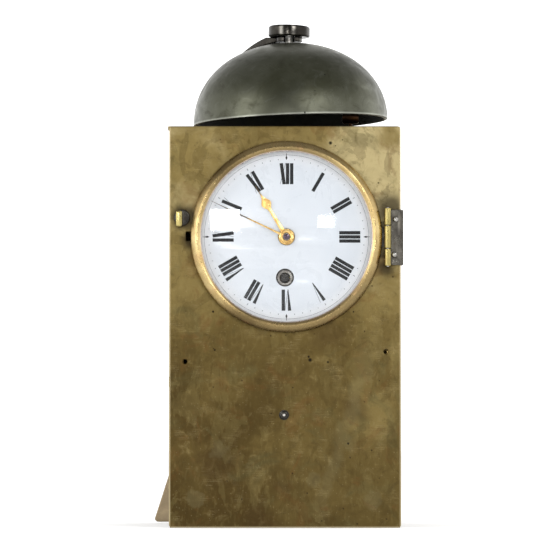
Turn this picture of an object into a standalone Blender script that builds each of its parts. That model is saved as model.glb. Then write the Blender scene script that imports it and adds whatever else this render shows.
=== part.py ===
"""Travel alarm clock in a brass sheet case, with a bell on its top and a spring movement inside.

The clock stands on the ground plane with its base centred on the origin, and its dial faces -Y.
All sizes below are millimetres; the helpers turn them into metres.
"""
import math

import bmesh
import bpy
from mathutils import Matrix, Vector

MM = 0.001
TURN = 2.0 * math.pi
GAP = 0.3                      # clearance left between neighbouring pieces

# ---- case ----
CASE_W = 100.0
CASE_H = 173.3
CASE_D = 90.0
FACE_T = 1.8                   # front plate
WALL_T = 1.5                   # side, door and back sheets
DECK_T = 1.8                   # top plate
BASE_T = 2.0
FRONT = -CASE_D / 2
FACE_BACK = FRONT + FACE_T
BACK_IN = CASE_D / 2 - WALL_T
SIDE_X = 49.1                  # middle of each side sheet
SHEET_FRONT = FACE_BACK + GAP
DECK_Z = CASE_H - DECK_T
POST_X = 44.5
POST_Y = 39.2
POST_R = 2.5
DOOR_SPLIT_LEFT = 65.0         # top of the fixed lower sheet on the left
DOOR_SPLIT_BACK = 58.0
PIVOT_R = 0.45
SIDE_PIVOT_Y = -41.2
BACK_PIVOT_X = 48.4
BACK_PIVOT_Y = CASE_D / 2 - 0.15

# ---- dial, bezel and hands ----
DIAL_X = 0.65
DIAL_Z = 125.4
DIAL_R = 38.2
OPENING_R = 38.5
BEZEL_R = 41.3
BEZEL_IN_R = 36.75
GLASS_R = 38.25
DIAL_FRONT = -43.6
WINDING_HOLE_R = 3.75
HOUR_LEN = 25.9
MINUTE_LEN = 36.0
HOUR_ANGLE = math.radians(328.6)      # clockwise from twelve
MINUTE_ANGLE = math.radians(295.5)

# ---- bezel hinge and latch ----
HINGE_X = 44.3
HINGE_Y = -46.75
HINGE_R = 1.45
HINGE_PIN_R = 0.65
HINGE_BOTTOM = 112.7
HINGE_TOP = 137.7
KNUCKLE_CUTS = (119.7, 129.7)
LATCH_X = -44.4
LATCH_Z = 133.6

# ---- bell ----
BELL_X = 2.0
BELL_SHIFT = 0.65              # how far the tilted rim hangs to the right of the stud
CROWN_HOLE_R = 3.0
BELL_RIM_Z = 178.7
BELL_R = 43.1
BELL_H = 34.4
BELL_T = 1.8
BELL_TILT = math.radians(2.25)
STRAP_T = 1.9
STRAP_W = 10.0
FORK_HALF = 2.35
STRAP_Z = 213.7
NUT_R = 9.3
NUT_Z = 216.2
NUT_T = 4.7

# ---- rear prop ----
PROP_Z = 52.0
PROP_Y = 47.9
PROP_X = -4.6
PROP_FOOT_HALF = 54.5
PROP_SLOPE = math.radians(17.5)
PROP_T = 1.3
PROP_FOOT_Z = 0.5

# ---- movement ----
PLATE_F = (-38.0, -36.4)       # front and back faces of the movement's front plate
PLATE_B = (10.0, 11.6)
PLATE_HALF_W = 37.0
PLATE_Z = (66.0, 166.0)
PILLARS = {"lower_left": (-32.0, 71.0), "lower_right": (32.0, 71.0),
           "upper_left": (-30.0, 160.0), "upper_right": (22.0, 161.0)}

GREAT_TEETH, CENTRE_LEAVES = 48, 8
CENTRE_TEETH, THIRD_LEAVES = 48, 6
THIRD_TEETH, FOURTH_LEAVES = 45, 6
FOURTH_TEETH, ESCAPE_LEAVES = 48, 6
CANNON_LEAVES, MINUTE_TEETH = 10, 30
MINUTE_LEAVES, HOUR_TEETH = 8, 32
ALARM_TEETH, ALARM_LEAVES = 40, 8
ESCAPE_TEETH = 15
RATCHET_TEETH = 20


def step(start, distance, degrees):
    """The point a distance away from another one, in the dial's plane."""
    turn = math.radians(degrees)
    return (start[0] + distance * math.cos(turn), start[1] + distance * math.sin(turn))


CENTRE = (DIAL_X, DIAL_Z)
BARREL = (0.0, 107.8)
THIRD = step(CENTRE, 13.5, 150)
FOURTH = step(THIRD, 11.475, 60)
ESCAPE = step(FOURTH, 10.26, 10)
PALLET = step(ESCAPE, 7.6, 40)
BALANCE = step(PALLET, 7.4, 40)
MINUTE = step(CENTRE, 9.6, 180)
ALARM_SET = step(MINUTE, 9.6, 215)
ALARM_BARREL = (19.0, 84.0)
ALARM_ESCAPE = step(ALARM_BARREL, 14.0, 65)
HAMMER = (29.2, 109.5)
HAMMER_HEAD_Z = 181.0
HAMMER_Y = -1.0
CLICK = (10.5, 113.6)
RELEASE = (-14.0, 99.0)


def clear_scene():
    for obj in list(bpy.data.objects):
        bpy.data.objects.remove(obj, do_unlink=True)


def new_collection(name):
    collection = bpy.data.collections.new(name)
    bpy.context.scene.collection.children.link(collection)
    return collection


clear_scene()
PARTS = new_collection("travel_alarm_clock")
TOOLS = new_collection("cutters")


def material(name, colour, roughness, metallic):
    made = bpy.data.materials.new(name)
    made.use_nodes = True
    shader = made.node_tree.nodes["Principled BSDF"]
    shader.inputs["Base Color"].default_value = (*colour, 1.0)
    shader.inputs["Roughness"].default_value = roughness
    shader.inputs["Metallic"].default_value = metallic
    return made


LOOKS = {
    "case_brass": ((0.33, 0.24, 0.11), 0.45, 1.0),
    "bright_brass": ((0.72, 0.58, 0.32), 0.25, 1.0),
    "gear_brass": ((0.62, 0.47, 0.20), 0.35, 1.0),
    "bell_bronze": ((0.14, 0.14, 0.10), 0.40, 1.0),
    "dark_steel": ((0.12, 0.115, 0.11), 0.45, 1.0),
    "steel": ((0.45, 0.45, 0.45), 0.30, 1.0),
    "enamel": ((0.85, 0.87, 0.88), 0.15, 0.0),
    "glass": ((0.90, 0.93, 0.94), 0.05, 0.0),
    "gilt": ((0.65, 0.45, 0.15), 0.30, 1.0),
    "copper_bronze": ((0.38, 0.16, 0.09), 0.45, 1.0),
}


def finish(obj, name, look):
    """Names an object, gives it its own material and moves it to the clock's collection."""
    obj.name = name
    obj.data.name = name
    obj.data.materials.clear()
    obj.data.materials.append(material(name + "_" + look, *LOOKS[look]))
    for holder in list(obj.users_collection):
        holder.objects.unlink(obj)
    PARTS.objects.link(obj)
    return obj


def as_cutter(obj, name):
    obj.name = name
    obj.hide_render = True
    obj.display_type = "WIRE"
    for holder in list(obj.users_collection):
        holder.objects.unlink(obj)
    TOOLS.objects.link(obj)
    return obj


def boolean(target, tool, operation):
    as_cutter(tool, target.name + "_" + operation.lower())
    modifier = target.modifiers.new(operation.lower(), "BOOLEAN")
    modifier.operation = operation
    modifier.object = tool
    return target


def join(target, *tools):
    for tool in tools:
        boolean(target, tool, "UNION")
    return target


def cut(target, *tools):
    for tool in tools:
        boolean(target, tool, "DIFFERENCE")
    return target


# ---- outlines, as loops of (across, up) points ----

def circle(centre, radius, sides):
    return [(centre[0] + radius * math.cos(TURN * k / sides),
             centre[1] + radius * math.sin(TURN * k / sides)) for k in range(sides)]


def rectangle(left, bottom, right, top):
    return [(left, bottom), (right, bottom), (right, top), (left, top)]


def rounded_rectangle(left, bottom, right, top, radius, steps=3):
    loop = []
    corners = ((right - radius, top - radius, 0), (left + radius, top - radius, 1),
               (left + radius, bottom + radius, 2), (right - radius, bottom + radius, 3))
    for across, up, quarter in corners:
        for k in range(steps + 1):
            turn = TURN / 4 * (quarter + k / steps)
            loop.append((across + radius * math.cos(turn), up + radius * math.sin(turn)))
    return loop


def slot_outline(start, end, radius, steps=6):
    """A bar with round ends between two points."""
    heading = math.atan2(end[1] - start[1], end[0] - start[0])
    loop = []
    for middle, turned in ((end, -TURN / 4), (start, TURN / 4)):
        for k in range(steps + 1):
            turn = heading + turned + TURN / 2 * k / steps
            loop.append((middle[0] + radius * math.cos(turn), middle[1] + radius * math.sin(turn)))
    return loop


def toothed_loop(teeth, phase, corners):
    """An edge that repeats the same (radius, share of the pitch) corners on each tooth."""
    loop = []
    for k in range(teeth):
        for radius, share in corners:
            turn = phase + TURN * (k + share) / teeth
            loop.append((radius * math.cos(turn), radius * math.sin(turn)))
    return loop


def gear_outline(teeth, module, phase):
    """A wheel with slim pointed teeth, which leave backlash on both sides."""
    outer = teeth * module / 2 + 0.9 * module
    inner = teeth * module / 2 - 1.25 * module
    return toothed_loop(teeth, phase, ((inner, -0.28), (outer, 0.0), (inner, 0.28)))


def pinion_outline(leaves, module, phase):
    outer = leaves * module / 2 + 0.7 * module
    inner = leaves * module / 2 - 1.1 * module
    return toothed_loop(leaves, phase, ((inner, -0.15), (outer, -0.1), (outer, 0.1), (inner, 0.15)))


def mating_phase(teeth_a, phase_a, at_a, at_b, teeth_b):
    """The angle that puts a gap of gear B where gear A has a tooth."""
    direction = math.atan2(at_b[1] - at_a[1], at_b[0] - at_a[0])
    share = ((direction - phase_a) * teeth_a / TURN) % 1.0
    return direction + math.pi + (share + 0.5) * TURN / teeth_b


def module_for(at_a, at_b, teeth_a, teeth_b):
    return 2.0 * math.dist(at_a, at_b) / (teeth_a + teeth_b)


def saw_outline(teeth, outer, inner, lean=0.25):
    """A ratchet's or escape wheel's edge, one steep and one sloping side to each tooth."""
    return toothed_loop(teeth, 0.0, ((inner, 0.0), (outer, lean), (outer, lean + 0.12)))


def spoke_openings(inner, outer, spokes, half_bar):
    """The spaces between a wheel's spokes."""
    loops = []
    for k in range(spokes):
        start = TURN * (k + 0.03) / spokes
        end = TURN * (k + 1.03) / spokes
        loop = []
        for radius, order in ((outer, (0, 1, 2, 3)), (inner, (3, 0))):
            margin = math.asin(half_bar / radius)
            for part in order:
                turn = start + margin + (end - start - 2 * margin) * part / 3
                loop.append((radius * math.cos(turn), radius * math.sin(turn)))
        loops.append(loop)
    return loops


# ---- solids ----

def flat(loops, thickness, location, facing="front"):
    """A sheet cut to an outline with holes, centred on a place.

    facing: "front" stands in the dial's plane, "up" lies level, "side" stands along Y and Z.
    """
    curve = bpy.data.curves.new("outline", "CURVE")
    curve.dimensions = "2D"
    curve.fill_mode = "BOTH"
    curve.extrude = thickness / 2 * MM
    for loop in loops:
        spline = curve.splines.new("POLY")
        spline.points.add(len(loop) - 1)
        for point, (across, up) in zip(spline.points, loop):
            point.co = (across * MM, up * MM, 0.0, 1.0)
        spline.use_cyclic_u = True
    obj = bpy.data.objects.new("outline", curve)
    bpy.context.scene.collection.objects.link(obj)
    turns = {"front": (TURN / 4, 0, 0), "up": (0, 0, 0), "side": (TURN / 4, 0, TURN / 4)}
    obj.rotation_euler = turns[facing]
    obj.location = Vector(location) * MM
    return to_mesh(obj)


def to_mesh(obj):
    """Turns a curve object into a mesh object with its caps welded on."""
    bpy.context.view_layer.update()
    graph = bpy.context.evaluated_depsgraph_get()
    mesh = bpy.data.meshes.new_from_object(obj.evaluated_get(graph))
    edit = bmesh.new()
    edit.from_mesh(mesh)
    bmesh.ops.remove_doubles(edit, verts=edit.verts, dist=1e-7)
    bmesh.ops.recalc_face_normals(edit, faces=edit.faces)
    edit.to_mesh(mesh)
    edit.free()
    made = bpy.data.objects.new(obj.name, mesh)
    bpy.context.scene.collection.objects.link(made)
    made.matrix_world = obj.matrix_world.copy()
    bpy.data.objects.remove(obj, do_unlink=True)
    return made


AXES = {"up": (0, 0, 0), "front": (TURN / 4, 0, 0), "back": (-TURN / 4, 0, 0),
        "right": (0, TURN / 4, 0), "left": (0, -TURN / 4, 0)}


def turned(profile, sides, location, axis="front", closed=False):
    """A lathe shape: (radius, along) points from its far end to its near end down the outside.

    axis "front" turns about a line towards -Y, so that `along` grows towards the viewer.
    """
    mesh = bpy.data.meshes.new("profile")
    edges = [(k, k + 1) for k in range(len(profile) - 1)]
    if closed:
        edges.append((len(profile) - 1, 0))
    mesh.from_pydata([(radius * MM, 0.0, along * MM) for radius, along in profile], edges, [])
    obj = bpy.data.objects.new("profile", mesh)
    bpy.context.scene.collection.objects.link(obj)
    screw = obj.modifiers.new("turn", "SCREW")
    screw.axis = "Z"
    screw.steps = sides
    screw.render_steps = sides
    screw.use_merge_vertices = True
    screw.merge_threshold = 1e-6
    obj.rotation_euler = AXES[axis]
    obj.location = Vector(location) * MM
    return obj


def rod(radius, start, end, sides, location, axis="front"):
    """A plain round bar between two distances along its axis."""
    return turned([(0, end), (radius, end), (radius, start), (0, start)], sides, location, axis)


def tube(outer, inner, start, end, sides, location, axis="front"):
    profile = [(inner, end), (outer, end), (outer, start), (inner, start)]
    return turned(profile, sides, location, axis, closed=True)


def stepped_rod(steps, sides, location, axis="front"):
    """A turned arbor: steps of (radius, start, end) listed from its far end to its near end."""
    profile = [(0, steps[0][2])]
    for radius, start, end in steps:
        profile.append((radius, end))
        profile.append((radius, start))
    profile.append((0, steps[-1][1]))
    return turned(profile, sides, location, axis)


def box(left, right, front, back, bottom, top):
    bpy.ops.mesh.primitive_cube_add(size=1.0)
    obj = bpy.context.object
    obj.scale = Vector((right - left, back - front, top - bottom)) * MM
    obj.location = Vector((left + right, front + back, bottom + top)) * MM / 2
    bpy.ops.object.transform_apply(location=False, rotation=False, scale=True)
    return obj


def gear_disc(loops, y_front, y_back, centre):
    return flat(loops, y_back - y_front, (centre[0], (y_front + y_back) / 2, centre[1]))


def arbor(centre, *steps):
    """An arbor along Y: steps of (radius, y_front, y_back) from the front one to the rear one."""
    along = [(radius, -y_back, -y_front) for radius, y_front, y_back in steps]
    return stepped_rod(along, 8, (centre[0], 0, centre[1]))


def centred(obj, place):
    """Moves a finished solid's origin to its joint's axis, leaving the solid where it is."""
    bpy.context.view_layer.update()
    graph = bpy.context.evaluated_depsgraph_get()
    mesh = bpy.data.meshes.new_from_object(obj.evaluated_get(graph))
    target = Matrix.Translation(Vector(place) * MM)
    mesh.transform(target.inverted() @ obj.matrix_world)
    obj.modifiers.clear()
    old = obj.data
    obj.data = mesh
    obj.matrix_world = target
    bpy.data.meshes.remove(old)
    return obj


def smooth(obj, degrees=35):
    obj.data.shade_smooth()
    obj.data.set_sharp_from_angle(angle=math.radians(degrees))
    return obj


# ---- the case ----

def make_front_plate():
    outline = rounded_rectangle(-CASE_W / 2, 0, CASE_W / 2, CASE_H, 1.4)
    holes = [circle(CENTRE, OPENING_R, 40),
             circle((43.5, 75.8), 0.95, 8),
             circle((-43.1, 71.5), 0.95, 8),
             circle((-0.4, 48.5), 1.3, 8),
             circle((47.8, 132.9), 0.9, 8),
             circle((47.2, 117.6), 0.9, 8),
             circle((LATCH_X, LATCH_Z), 1.3, 10),
             rectangle(-42.7, 123.7, -40.7, 127.6)]
    plate = flat([outline] + holes, FACE_T, (0, FRONT + FACE_T / 2, 0))
    finish(plate, "front_plate", "case_brass")


def make_decks():
    edge = CASE_W / 2 - GAP
    hammer_slot = rectangle(27.4, -4.6, 39.2, 2.6)
    strap_hole = circle(strap_point(53.0), 1.2, 8)
    top = flat([rectangle(-edge, SHEET_FRONT, edge, CASE_D / 2), hammer_slot, strap_hole],
               DECK_T, (0, 0, DECK_Z + DECK_T / 2), "up")
    lugs = (((-SIDE_X, SIDE_PIVOT_Y), 1.6), ((BACK_PIVOT_X, BACK_PIVOT_Y), 1.35))
    for (across, depth), radius in lugs:
        join(top, rod(radius, DECK_Z + 0.15, CASE_H + 0.15, 14, (across, depth, 0), "up"))
    for (across, depth), _ in lugs:
        cut(top, rod(PIVOT_R + GAP, DECK_Z - 1, CASE_H + 1, 10, (across, depth, 0), "up"))
    finish(top, "top_plate", "case_brass")
    base = flat([rounded_rectangle(-edge, SHEET_FRONT, edge, CASE_D / 2, 0.8)],
                BASE_T, (0, 0, BASE_T / 2), "up")
    finish(base, "base_plate", "case_brass")


def strap_point(distance):
    """The place on the top plate under the strap, which runs to the rear left corner."""
    return (BELL_X - distance * math.sqrt(0.5), distance * math.sqrt(0.5))


def make_posts():
    low = BASE_T + GAP
    high = DECK_Z - GAP
    profile = [(0, high), (POST_R, high), (POST_R, high - 5), (1.7, high - 7),
               (1.7, low + 7), (POST_R, low + 5), (POST_R, low), (0, low)]
    for name, across, depth in (("front_left", -POST_X, -POST_Y), ("front_right", POST_X, -POST_Y),
                                ("rear_left", -POST_X, POST_Y), ("rear_right", POST_X, POST_Y)):
        post = turned(profile, 8, (across, depth, 0), "up")
        finish(smooth(post), "case_post_" + name, "gear_brass")


def hinged_edge(thickness, low, high, across, depth, pin_low, pin_high):
    """The round hinge edge of a door with a pivot pin at each end."""
    edge = thickness / 2
    return stepped_rod([(PIVOT_R, high, pin_high), (edge, low, high), (PIVOT_R, pin_low, low)],
                       12, (across, depth, 0), "up")


def make_side_sheets():
    low = BASE_T + GAP
    high = DECK_Z - GAP
    half = WALL_T / 2
    back = BACK_IN - GAP
    right = box(SIDE_X - half, SIDE_X + half, SHEET_FRONT, back, low, high)
    finish(right, "side_panel_right", "case_brass")

    left = box(-SIDE_X - half, -SIDE_X + half, SHEET_FRONT + 3.0, back, low, DOOR_SPLIT_LEFT)
    join(left, box(-SIDE_X - half, -SIDE_X + half, SHEET_FRONT, -39.0, low, DOOR_SPLIT_LEFT - 4.0),
         rod(1.2, DOOR_SPLIT_LEFT - 4.5, DOOR_SPLIT_LEFT, 12, (-SIDE_X, SIDE_PIVOT_Y, 0), "up"),
         box(-SIDE_X - half + 0.1, -SIDE_X + half - 0.1, SIDE_PIVOT_Y + 0.9, -39.5,
             DOOR_SPLIT_LEFT - 4.2, DOOR_SPLIT_LEFT - 0.1))
    cut(left, rod(PIVOT_R + GAP, DOOR_SPLIT_LEFT - 3.0, DOOR_SPLIT_LEFT + 1.0, 10,
                  (-SIDE_X, SIDE_PIVOT_Y, 0), "up"))
    finish(left, "side_panel_left_lower", "case_brass")

    door_low = DOOR_SPLIT_LEFT + GAP
    door = hinged_edge(WALL_T, door_low, high, -SIDE_X, SIDE_PIVOT_Y, door_low - 2.5, CASE_H - 0.5)
    join(door, box(-SIDE_X - half, -SIDE_X + half, SIDE_PIVOT_Y, back, door_low, high),
         rod(2.0, SIDE_X + half - 0.1, SIDE_X + half + 2.2, 12, (0, 36.0, 118.0), "left"))
    centred(door, (-SIDE_X, SIDE_PIVOT_Y, door_low))
    finish(door, "side_door", "case_brass")


def make_back():
    low = BASE_T + GAP
    half = CASE_W / 2 - 2 * GAP
    depth = BACK_PIVOT_Y
    lower = box(-half, half, BACK_IN, CASE_D / 2, low, DOOR_SPLIT_BACK - 3.0)
    join(lower, box(-half, BACK_PIVOT_X - 3.0, BACK_IN, CASE_D / 2, DOOR_SPLIT_BACK - 3.5, DOOR_SPLIT_BACK),
         rod(1.35, DOOR_SPLIT_BACK - 6.0, DOOR_SPLIT_BACK, 14, (BACK_PIVOT_X, depth, 0), "up"),
         box(BACK_PIVOT_X - 4.0, BACK_PIVOT_X - 1.0, BACK_IN + 0.1, CASE_D / 2 - 0.1,
             DOOR_SPLIT_BACK - 3.6, DOOR_SPLIT_BACK - 0.1))
    cut(lower, rod(PIVOT_R + GAP, DOOR_SPLIT_BACK - 4.0, DOOR_SPLIT_BACK + 1, 10,
                   (BACK_PIVOT_X, depth, 0), "up"))
    finish(lower, "back_panel_lower", "case_brass")

    door_low = DOOR_SPLIT_BACK + GAP
    door = hinged_edge(WALL_T, door_low, DECK_Z - GAP, BACK_PIVOT_X, depth,
                       door_low - 2.5, CASE_H - 0.5)
    join(door, box(-half, BACK_PIVOT_X, BACK_IN, CASE_D / 2, door_low, DECK_Z - GAP),
         rod(2.2, CASE_D / 2 - 0.1, CASE_D / 2 + 2.4, 12, (-42.0, 0, 118.0), "back"))
    centred(door, (BACK_PIVOT_X, depth, door_low))
    finish(door, "back_door", "case_brass")


def make_prop():
    """The trapezoid strut that folds out behind the case, on trunnions between two ears."""
    top_half = PROP_FOOT_HALF - (PROP_Z - PROP_FOOT_Z) * math.tan(PROP_SLOPE)
    front = PROP_Y - PROP_T / 2
    outline = [(-PROP_FOOT_HALF + 1.2, PROP_FOOT_Z), (PROP_FOOT_HALF - 1.2, PROP_FOOT_Z),
               (PROP_FOOT_HALF, PROP_FOOT_Z + 1.2), (top_half, PROP_Z), (-top_half, PROP_Z),
               (-PROP_FOOT_HALF, PROP_FOOT_Z + 1.2)]
    prop = flat([outline], PROP_T, (PROP_X, front + PROP_T / 2, 0))
    reach = top_half + 3.0
    join(prop, stepped_rod([(0.8, top_half - 0.4, reach), (1.3, 0.4 - top_half, top_half - 0.4),
                            (0.8, -reach, 0.4 - top_half)], 12, (PROP_X, PROP_Y, PROP_Z), "right"))
    centred(prop, (PROP_X, PROP_Y, PROP_Z))
    finish(prop, "rear_prop", "case_brass")

    wide = reach + 0.4
    face = CASE_D / 2 + GAP
    bracket = box(PROP_X - wide, PROP_X + wide, face, face + 0.8, PROP_Z - 3.0, PROP_Z + 3.0)
    for side in (-1, 1):
        near = PROP_X + side * (top_half + 1.3)
        far = PROP_X + side * wide
        join(bracket, box(min(near, far), max(near, far), face + 0.4, PROP_Y + 2.2,
                          PROP_Z - 2.6, PROP_Z + 2.6))
    cut(bracket, rod(1.15, -wide - 1, wide + 1, 12, (PROP_X, PROP_Y, PROP_Z), "right"))
    finish(bracket, "prop_bracket", "dark_steel")


# ---- bell ----

def bell_profile(inset, points=7):
    """The dome's curve from its crown hole down to its rim, moved in from the outside."""
    wide = BELL_R - inset
    high = BELL_H - inset
    start = math.asin(CROWN_HOLE_R / wide)
    curve = []
    for k in range(points + 1):
        turn = start + (TURN / 4 - start) * k / points
        curve.append((wide * math.sin(turn) ** 0.96, high * math.cos(turn) ** 0.96))
    return curve


def make_bell():
    outside = bell_profile(0.0)
    inside = bell_profile(BELL_T)[::-1]
    bell = turned(outside + inside, 36, (BELL_X + BELL_SHIFT, 0, BELL_RIM_Z), "up", closed=True)
    bell.rotation_euler = (0, -BELL_TILT, 0)
    smooth(bell, 50)
    finish(bell, "bell", "bell_bronze")

    stud = turned([(0, NUT_Z + NUT_T - 1.5), (2.0, NUT_Z + NUT_T - 1.5), (2.0, BELL_RIM_Z + 31.9),
                   (5.0, BELL_RIM_Z + 31.4), (5.0, BELL_RIM_Z + 29.8), (0, BELL_RIM_Z + 29.8)],
                  14, (BELL_X, 0, 0), "up")
    finish(smooth(stud), "bell_stud", "steel")

    nut = turned([(0, NUT_Z + NUT_T), (NUT_R - 0.5, NUT_Z + NUT_T), (NUT_R, NUT_Z + NUT_T - 0.5),
                  (NUT_R, NUT_Z + 0.5), (NUT_R - 0.5, NUT_Z), (2.35, NUT_Z),
                  (2.35, NUT_Z + NUT_T - 1.2), (0, NUT_Z + NUT_T - 1.2)], 24, (BELL_X, 0, 0), "up")
    finish(smooth(nut), "bell_nut", "dark_steel")


def make_strap():
    """The band from the bell's crown over its flank down to the rear left of the top plate.

    Its round head is forked towards the front, so that it slips round the stud.
    """
    outer = []
    inner = []
    standoff = 2.2
    for k in range(8):
        turn = math.radians(12 + 10.8 * k)
        wide = BELL_R + standoff
        high = STRAP_Z - BELL_RIM_Z
        inner.append((wide * math.sin(turn), BELL_RIM_Z + high * math.cos(turn)))
        outer.append(((wide + STRAP_T) * math.sin(turn),
                      BELL_RIM_Z + (high + STRAP_T) * math.cos(turn)))
    foot = CASE_H + GAP
    side = inner[-1][0]
    loop = [(0, STRAP_Z + STRAP_T)] + outer
    loop += [(side + STRAP_T, foot + STRAP_T), (side + 11.5, foot + STRAP_T),
             (side + 11.5, foot), (side, foot)]
    loop += inner[::-1] + [(0, STRAP_Z)]
    strap = flat([loop], STRAP_W, (BELL_X, 0, 0))
    strap.rotation_euler = (TURN / 4, 0, math.radians(135))
    join(strap, rod(8.0, STRAP_Z, STRAP_Z + STRAP_T, 24, (BELL_X, 0, 0), "up"))
    foot_at = strap_point(53.0)
    cut(strap, rod(FORK_HALF, STRAP_Z - 2, STRAP_Z + 4, 12, (BELL_X, 0, 0), "up"),
        box(BELL_X - FORK_HALF, BELL_X + FORK_HALF, -STRAP_W, 0, STRAP_Z - 2, STRAP_Z + 4),
        rod(1.2, foot - 1, foot + 4, 8, (*foot_at, 0), "up"))
    finish(strap, "bell_strap", "dark_steel")
    seat = foot + STRAP_T + GAP
    screw = stepped_rod([(2.4, seat, seat + 1.6), (0.9, DECK_Z - 1.5, seat)], 12, (*foot_at, 0), "up")
    finish(smooth(screw), "strap_screw", "steel")


# ---- bezel, glass, hinge and latch ----

def make_bezel():
    profile = [(BEZEL_R, 45.3), (BEZEL_IN_R + 1.8, 45.3), (BEZEL_IN_R + 1.8, 47.1),
               (BEZEL_IN_R, 47.1), (BEZEL_IN_R, 47.9), (BEZEL_IN_R + 1.5, 48.9),
               (BEZEL_R - 2.0, 48.7), (BEZEL_R, 46.9)]
    bezel = turned(profile, 44, (DIAL_X, 0, DIAL_Z), "front", closed=True)
    low, high = KNUCKLE_CUTS
    join(bezel, rod(HINGE_R, low + 0.15, high - 0.15, 14, (HINGE_X, HINGE_Y, 0), "up"),
         box(DIAL_X + BEZEL_R - 1.6, HINGE_X, -46.7, -45.5, low + 0.6, high - 0.6))
    cut(bezel, rod(HINGE_PIN_R + GAP, HINGE_BOTTOM, HINGE_TOP, 10, (HINGE_X, HINGE_Y, 0), "up"))
    centred(bezel, (HINGE_X, HINGE_Y, DIAL_Z))
    smooth(bezel)
    finish(bezel, "bezel", "bright_brass")

    glass = rod(GLASS_R, 45.9, 46.8, 40, (DIAL_X, 0, DIAL_Z))
    centred(glass, (HINGE_X, HINGE_Y, DIAL_Z))
    finish(smooth(glass), "dial_glass", "glass")


def make_bezel_hinge():
    low, high = KNUCKLE_CUTS
    leaf = box(45.6, 51.1, FRONT - 0.9, FRONT - GAP, HINGE_BOTTOM + 0.4, HINGE_TOP - 0.6)
    join(leaf, box(CASE_W / 2 + GAP, 51.1, FRONT - 0.9, FRONT + 9.0,
                   HINGE_BOTTOM + 0.4, HINGE_TOP - 0.6))
    for bottom, top in ((HINGE_BOTTOM, low - 0.15), (high + 0.15, HINGE_TOP)):
        join(leaf, rod(HINGE_R, bottom, top, 14, (HINGE_X, HINGE_Y, 0), "up"),
             box(HINGE_X + 0.2, 46.4, -46.0, FRONT - GAP, bottom + 0.5, top - 0.65))
    cut(leaf, rod(HINGE_PIN_R + GAP, HINGE_BOTTOM - 1, HINGE_TOP + 1, 10, (HINGE_X, HINGE_Y, 0), "up"))
    for across, up in ((47.8, 132.9), (47.2, 117.6)):
        cut(leaf, rod(0.9, 44.0, 47.0, 8, (across, 0, up)))
    finish(leaf, "bezel_hinge_leaf", "dark_steel")

    pin = rod(HINGE_PIN_R, HINGE_BOTTOM - 0.4, HINGE_TOP + 0.4, 10, (HINGE_X, HINGE_Y, 0), "up")
    finish(smooth(pin), "bezel_hinge_pin", "steel")
    for name, across, up in (("upper", 47.8, 132.9), ("lower", 47.2, 117.6)):
        head = turned([(0, 47.0), (0.9, 46.7), (1.3, 46.2), (0.6, 46.2), (0.6, 43.3), (0, 43.3)],
                      10, (across, 0, up))
        finish(smooth(head), "hinge_rivet_" + name, "steel")


def make_latch():
    disc = stepped_rod([(3.5, 45.3, 46.1), (1.0, 42.3, 45.3)], 24, (LATCH_X, 0, LATCH_Z))
    finish(smooth(centred(disc, (LATCH_X, -45.3, LATCH_Z))), "latch_disc", "dark_steel")
    bar = flat([rounded_rectangle(-47.0, 129.6, -44.3, 136.6, 1.0)], 1.7, (0, -47.25, 0))
    finish(centred(bar, (LATCH_X, -45.3, LATCH_Z)), "latch_bar", "bright_brass")


# ---- dial and hands ----

def make_dial():
    dial = gear_disc([circle((0, 0), DIAL_R, 40), circle((0, 0), 3.6, 16),
                      circle((BARREL[0] - DIAL_X, BARREL[1] - DIAL_Z), WINDING_HOLE_R, 16)],
                     DIAL_FRONT, DIAL_FRONT + 1.0, CENTRE)
    for across, up in ((-25.0, 146.0), (27.0, 145.0), (-26.0, 101.0)):
        join(dial, rod(0.8, 38.3, 43.0, 8, (across, 0, up)))
    finish(dial, "dial", "enamel")


def hand_outline(angle, length, root_half, tip_half, pear_at, pear_half, pear_long):
    """A tapered hand with a two-sided pear along it, pointing clockwise from twelve."""
    side = [(root_half, 0.0), (root_half * 0.8, pear_at - pear_long / 2),
            (pear_half, pear_at - pear_long * 0.1), (pear_half * 0.55, pear_at + pear_long * 0.25),
            (tip_half, pear_at + pear_long / 2), (tip_half * 0.6, length)]
    loop = side + [(-across, up) for across, up in side[::-1]]
    turn = -angle
    return [(across * math.cos(turn) - up * math.sin(turn),
             across * math.sin(turn) + up * math.cos(turn)) for across, up in loop]


def make_hands():
    hour = gear_disc([hand_outline(HOUR_ANGLE, HOUR_LEN, 0.9, 0.35, 17.2, 2.15, 6.5)],
                     -44.5, -44.0, CENTRE)
    join(hour, rod(3.4, 43.9, 44.6, 20, (DIAL_X, 0, DIAL_Z)))
    cut(hour, rod(2.75, 43.0, 45.0, 16, (DIAL_X, 0, DIAL_Z)))
    finish(centred(hour, (DIAL_X, -44.2, DIAL_Z)), "hour_hand", "gilt")
    minute = gear_disc([hand_outline(MINUTE_ANGLE, MINUTE_LEN, 0.8, 0.3, 26.3, 1.0, 7.0)],
                       -45.35, -44.9, CENTRE)
    join(minute, rod(3.0, 44.9, 45.5, 20, (DIAL_X, 0, DIAL_Z)))
    cut(minute, rod(1.8, 44.0, 46.0, 14, (DIAL_X, 0, DIAL_Z)))
    finish(centred(minute, (DIAL_X, -45.1, DIAL_Z)), "minute_hand", "gilt")


# ---- movement frame ----

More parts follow.
